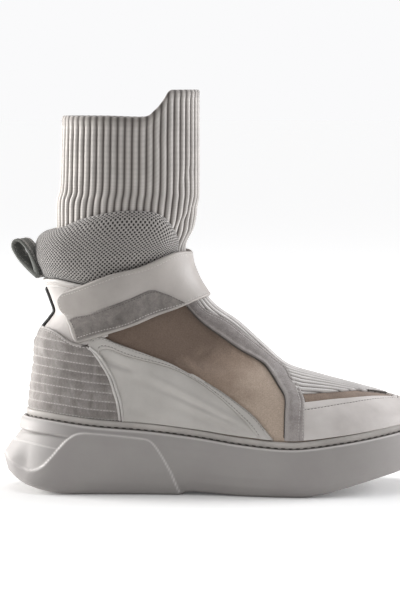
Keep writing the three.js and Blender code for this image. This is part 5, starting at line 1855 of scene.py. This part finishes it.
# %% Suede patch
sample_al = np.stack(
    np.meshgrid(np.linspace(-0.999, -0.02, 420), np.linspace(0, 1, 70), indexing="ij"), -1
).reshape(-1, 2)
sample_points = strap_point(sample_al[:, 0], sample_al[:, 1], strap_lift(sample_al[:, 0], sample_al[:, 1]) + 2.6)


def strap_spot(x, z):
    """along and across of the strap's point that the side view shows at x, z."""
    gap = np.hypot(sample_points[:, 0] - x, sample_points[:, 2] - z)
    return sample_al[np.argmin(gap)]


class StrapRail:
    """An edge on the strap, walked by its length: rail(share) gives along and across."""

    def __init__(self, spots):
        self.spots = np.array(spots, float)
        run = np.r_[0, np.cumsum(np.hypot(*(np.diff(self.spots, axis=0) * [STRAP_HALF, STRAP_WIDTH]).T))]
        self.run = run / max(run[-1], 1e-9)

    def __call__(self, share):
        return np.stack([np.interp(share, self.run, self.spots[:, k]) for k in (0, 1)], -1)


PATCH_TOP = [(-8, 123.2), (16, 131.5), (37, 139.2), (50, 145.0), (54, 145.4), (65, 140.7), (75.5, 135.2)]
top_spots = [strap_spot(x, z) for x, z in PATCH_TOP]
end_spot = top_spots[-1]
patch_left = -0.985
top_spots[0][0] = patch_left
patch = Panel(
    StrapRail([(patch_left, 0.045), (end_spot[0], 0.045)]), StrapRail(top_spots),
    StrapRail([(patch_left, 0.045), tuple(top_spots[0])]), StrapRail([(end_spot[0], 0.045), tuple(end_spot)]),
)


def patch_place(U, V):
    along, across = patch.al(U, V)
    from_edge = np.minimum(np.minimum(U, 1 - U) * PATCH_LENGTH, np.minimum(V * 16, (1 - V) * 16))
    return strap_point(along, across, strap_face(along, across) + 1.1 * rolled(from_edge, 1.0) - 0.1)


patch_piece = lay_grid(
    "suede_patch", edge_rows(PATCH_LENGTH, 1.2), edge_rows(PATCH_HIGH, 0.9), patch_place,
    (PATCH_LENGTH, PATCH_HIGH), facing=(0, -1, 0),
)
dress(patch_piece, patch_suede, "grey_suede", "strap_patch")
u, v = np.linspace(0.015, 0.985, 200), np.linspace(0.08, 0.92, 40)
sew_strap("dark", *patch.al(u, 0.91), 1.0, 2.2, 1.6, 0.5, 0.4)
sew_strap("light", *patch.al(u, 0.1), 1.0, 2.2, 1.6, 0.5, 0.4)
sew_strap("dark", *patch.al(0.018, v), 1.0, 2.2, 1.6, 0.5, 0.4)


# %% [markdown]
# ## Pull loop
# The loop is a woven tape, folded on itself and sewn into the back of the collar.

# %% Pull loop
LOOP_WIDTH, LOOP_THICK, LOOP_LENGTH, LOOP_GAP = 17.0, 1.8, 33.0, 5.0


def loop_ring(inner):
    turn = np.linspace(0, TURN, 97)
    share = (1 - np.cos(turn)) / 2
    leg = round_end(share, 0.03) * round_end(1 - share, 0.14) * LOOP_THICK
    gap = LOOP_GAP * np.sin(turn) * np.sqrt(share)
    run = lerp(0.2 * LOOP_LENGTH, LOOP_LENGTH - LOOP_THICK, share) if inner else share * LOOP_LENGTH
    return run, gap + (0 if inner else 1) * np.sign(np.sin(turn)) * leg


def loop_row(inner, height):
    run, gap = loop_ring(inner)
    tilt, spin = np.radians(180 + 53), np.radians(-22)
    x, z = run * np.cos(tilt) + gap * np.sin(tilt), -run * np.sin(tilt) + gap * np.cos(tilt)
    y = np.full(x.shape, float(height))
    x, y = x * np.cos(spin) - y * np.sin(spin), x * np.sin(spin) + y * np.cos(spin)
    return np.stack([x + TOP_BACK - 2.6, y, z + TOP_Z + 1.5], -1)


half = LOOP_WIDTH / 2
heights = np.array([-half, -half + 0.4, -half + 1, *np.linspace(-half + 2, half - 2, 10), half - 1, half - 0.4, half])
outer_rows = [loop_row(False, h) for h in heights]
inner_rows = [loop_row(True, h) for h in heights[::-1]]
loop_table = np.array(outer_rows + inner_rows + [outer_rows[0]]).transpose(1, 0, 2)
webbing_loop = lay_grid(
    "webbing_pull_loop", np.linspace(0, 1, loop_table.shape[1]), np.linspace(0, 1, loop_table.shape[0]),
    from_table(loop_table), (10, 75), joined=True, back=0, facing=(0, 0, 0),
)
face_outwards()
for height in (-half + 2.2, half - 2.2):
    ring_line = loop_row(True, height)
    inward = ring_line.mean(0) - ring_line
    inward /= np.linalg.norm(inward, axis=1, keepdims=True)
    sew("light", lambda out: ring_line + inward * out, 0.1, 2.6, 1.8, 0.6, 0.4)
    outer_line = loop_row(False, height)
    sew("light", lambda out: outer_line - inward * out, 0.1, 2.6, 1.8, 0.6, 0.4)
dress(webbing_loop, loop_webbing, "webbing", "pull_loop")


# %% [markdown]
# ## The seams' thread
# All the stitches kept above become three meshes, one for each thread.

# %% Threads
for name, thread_key, finish in (
    ("pale_seam_stitches", "light", light_thread),
    ("grey_seam_stitches", "mid", mid_thread),
    ("dark_seam_stitches", "dark", dark_thread),
):
    dress(make_threads(name, thread_key), finish, "light_leather")
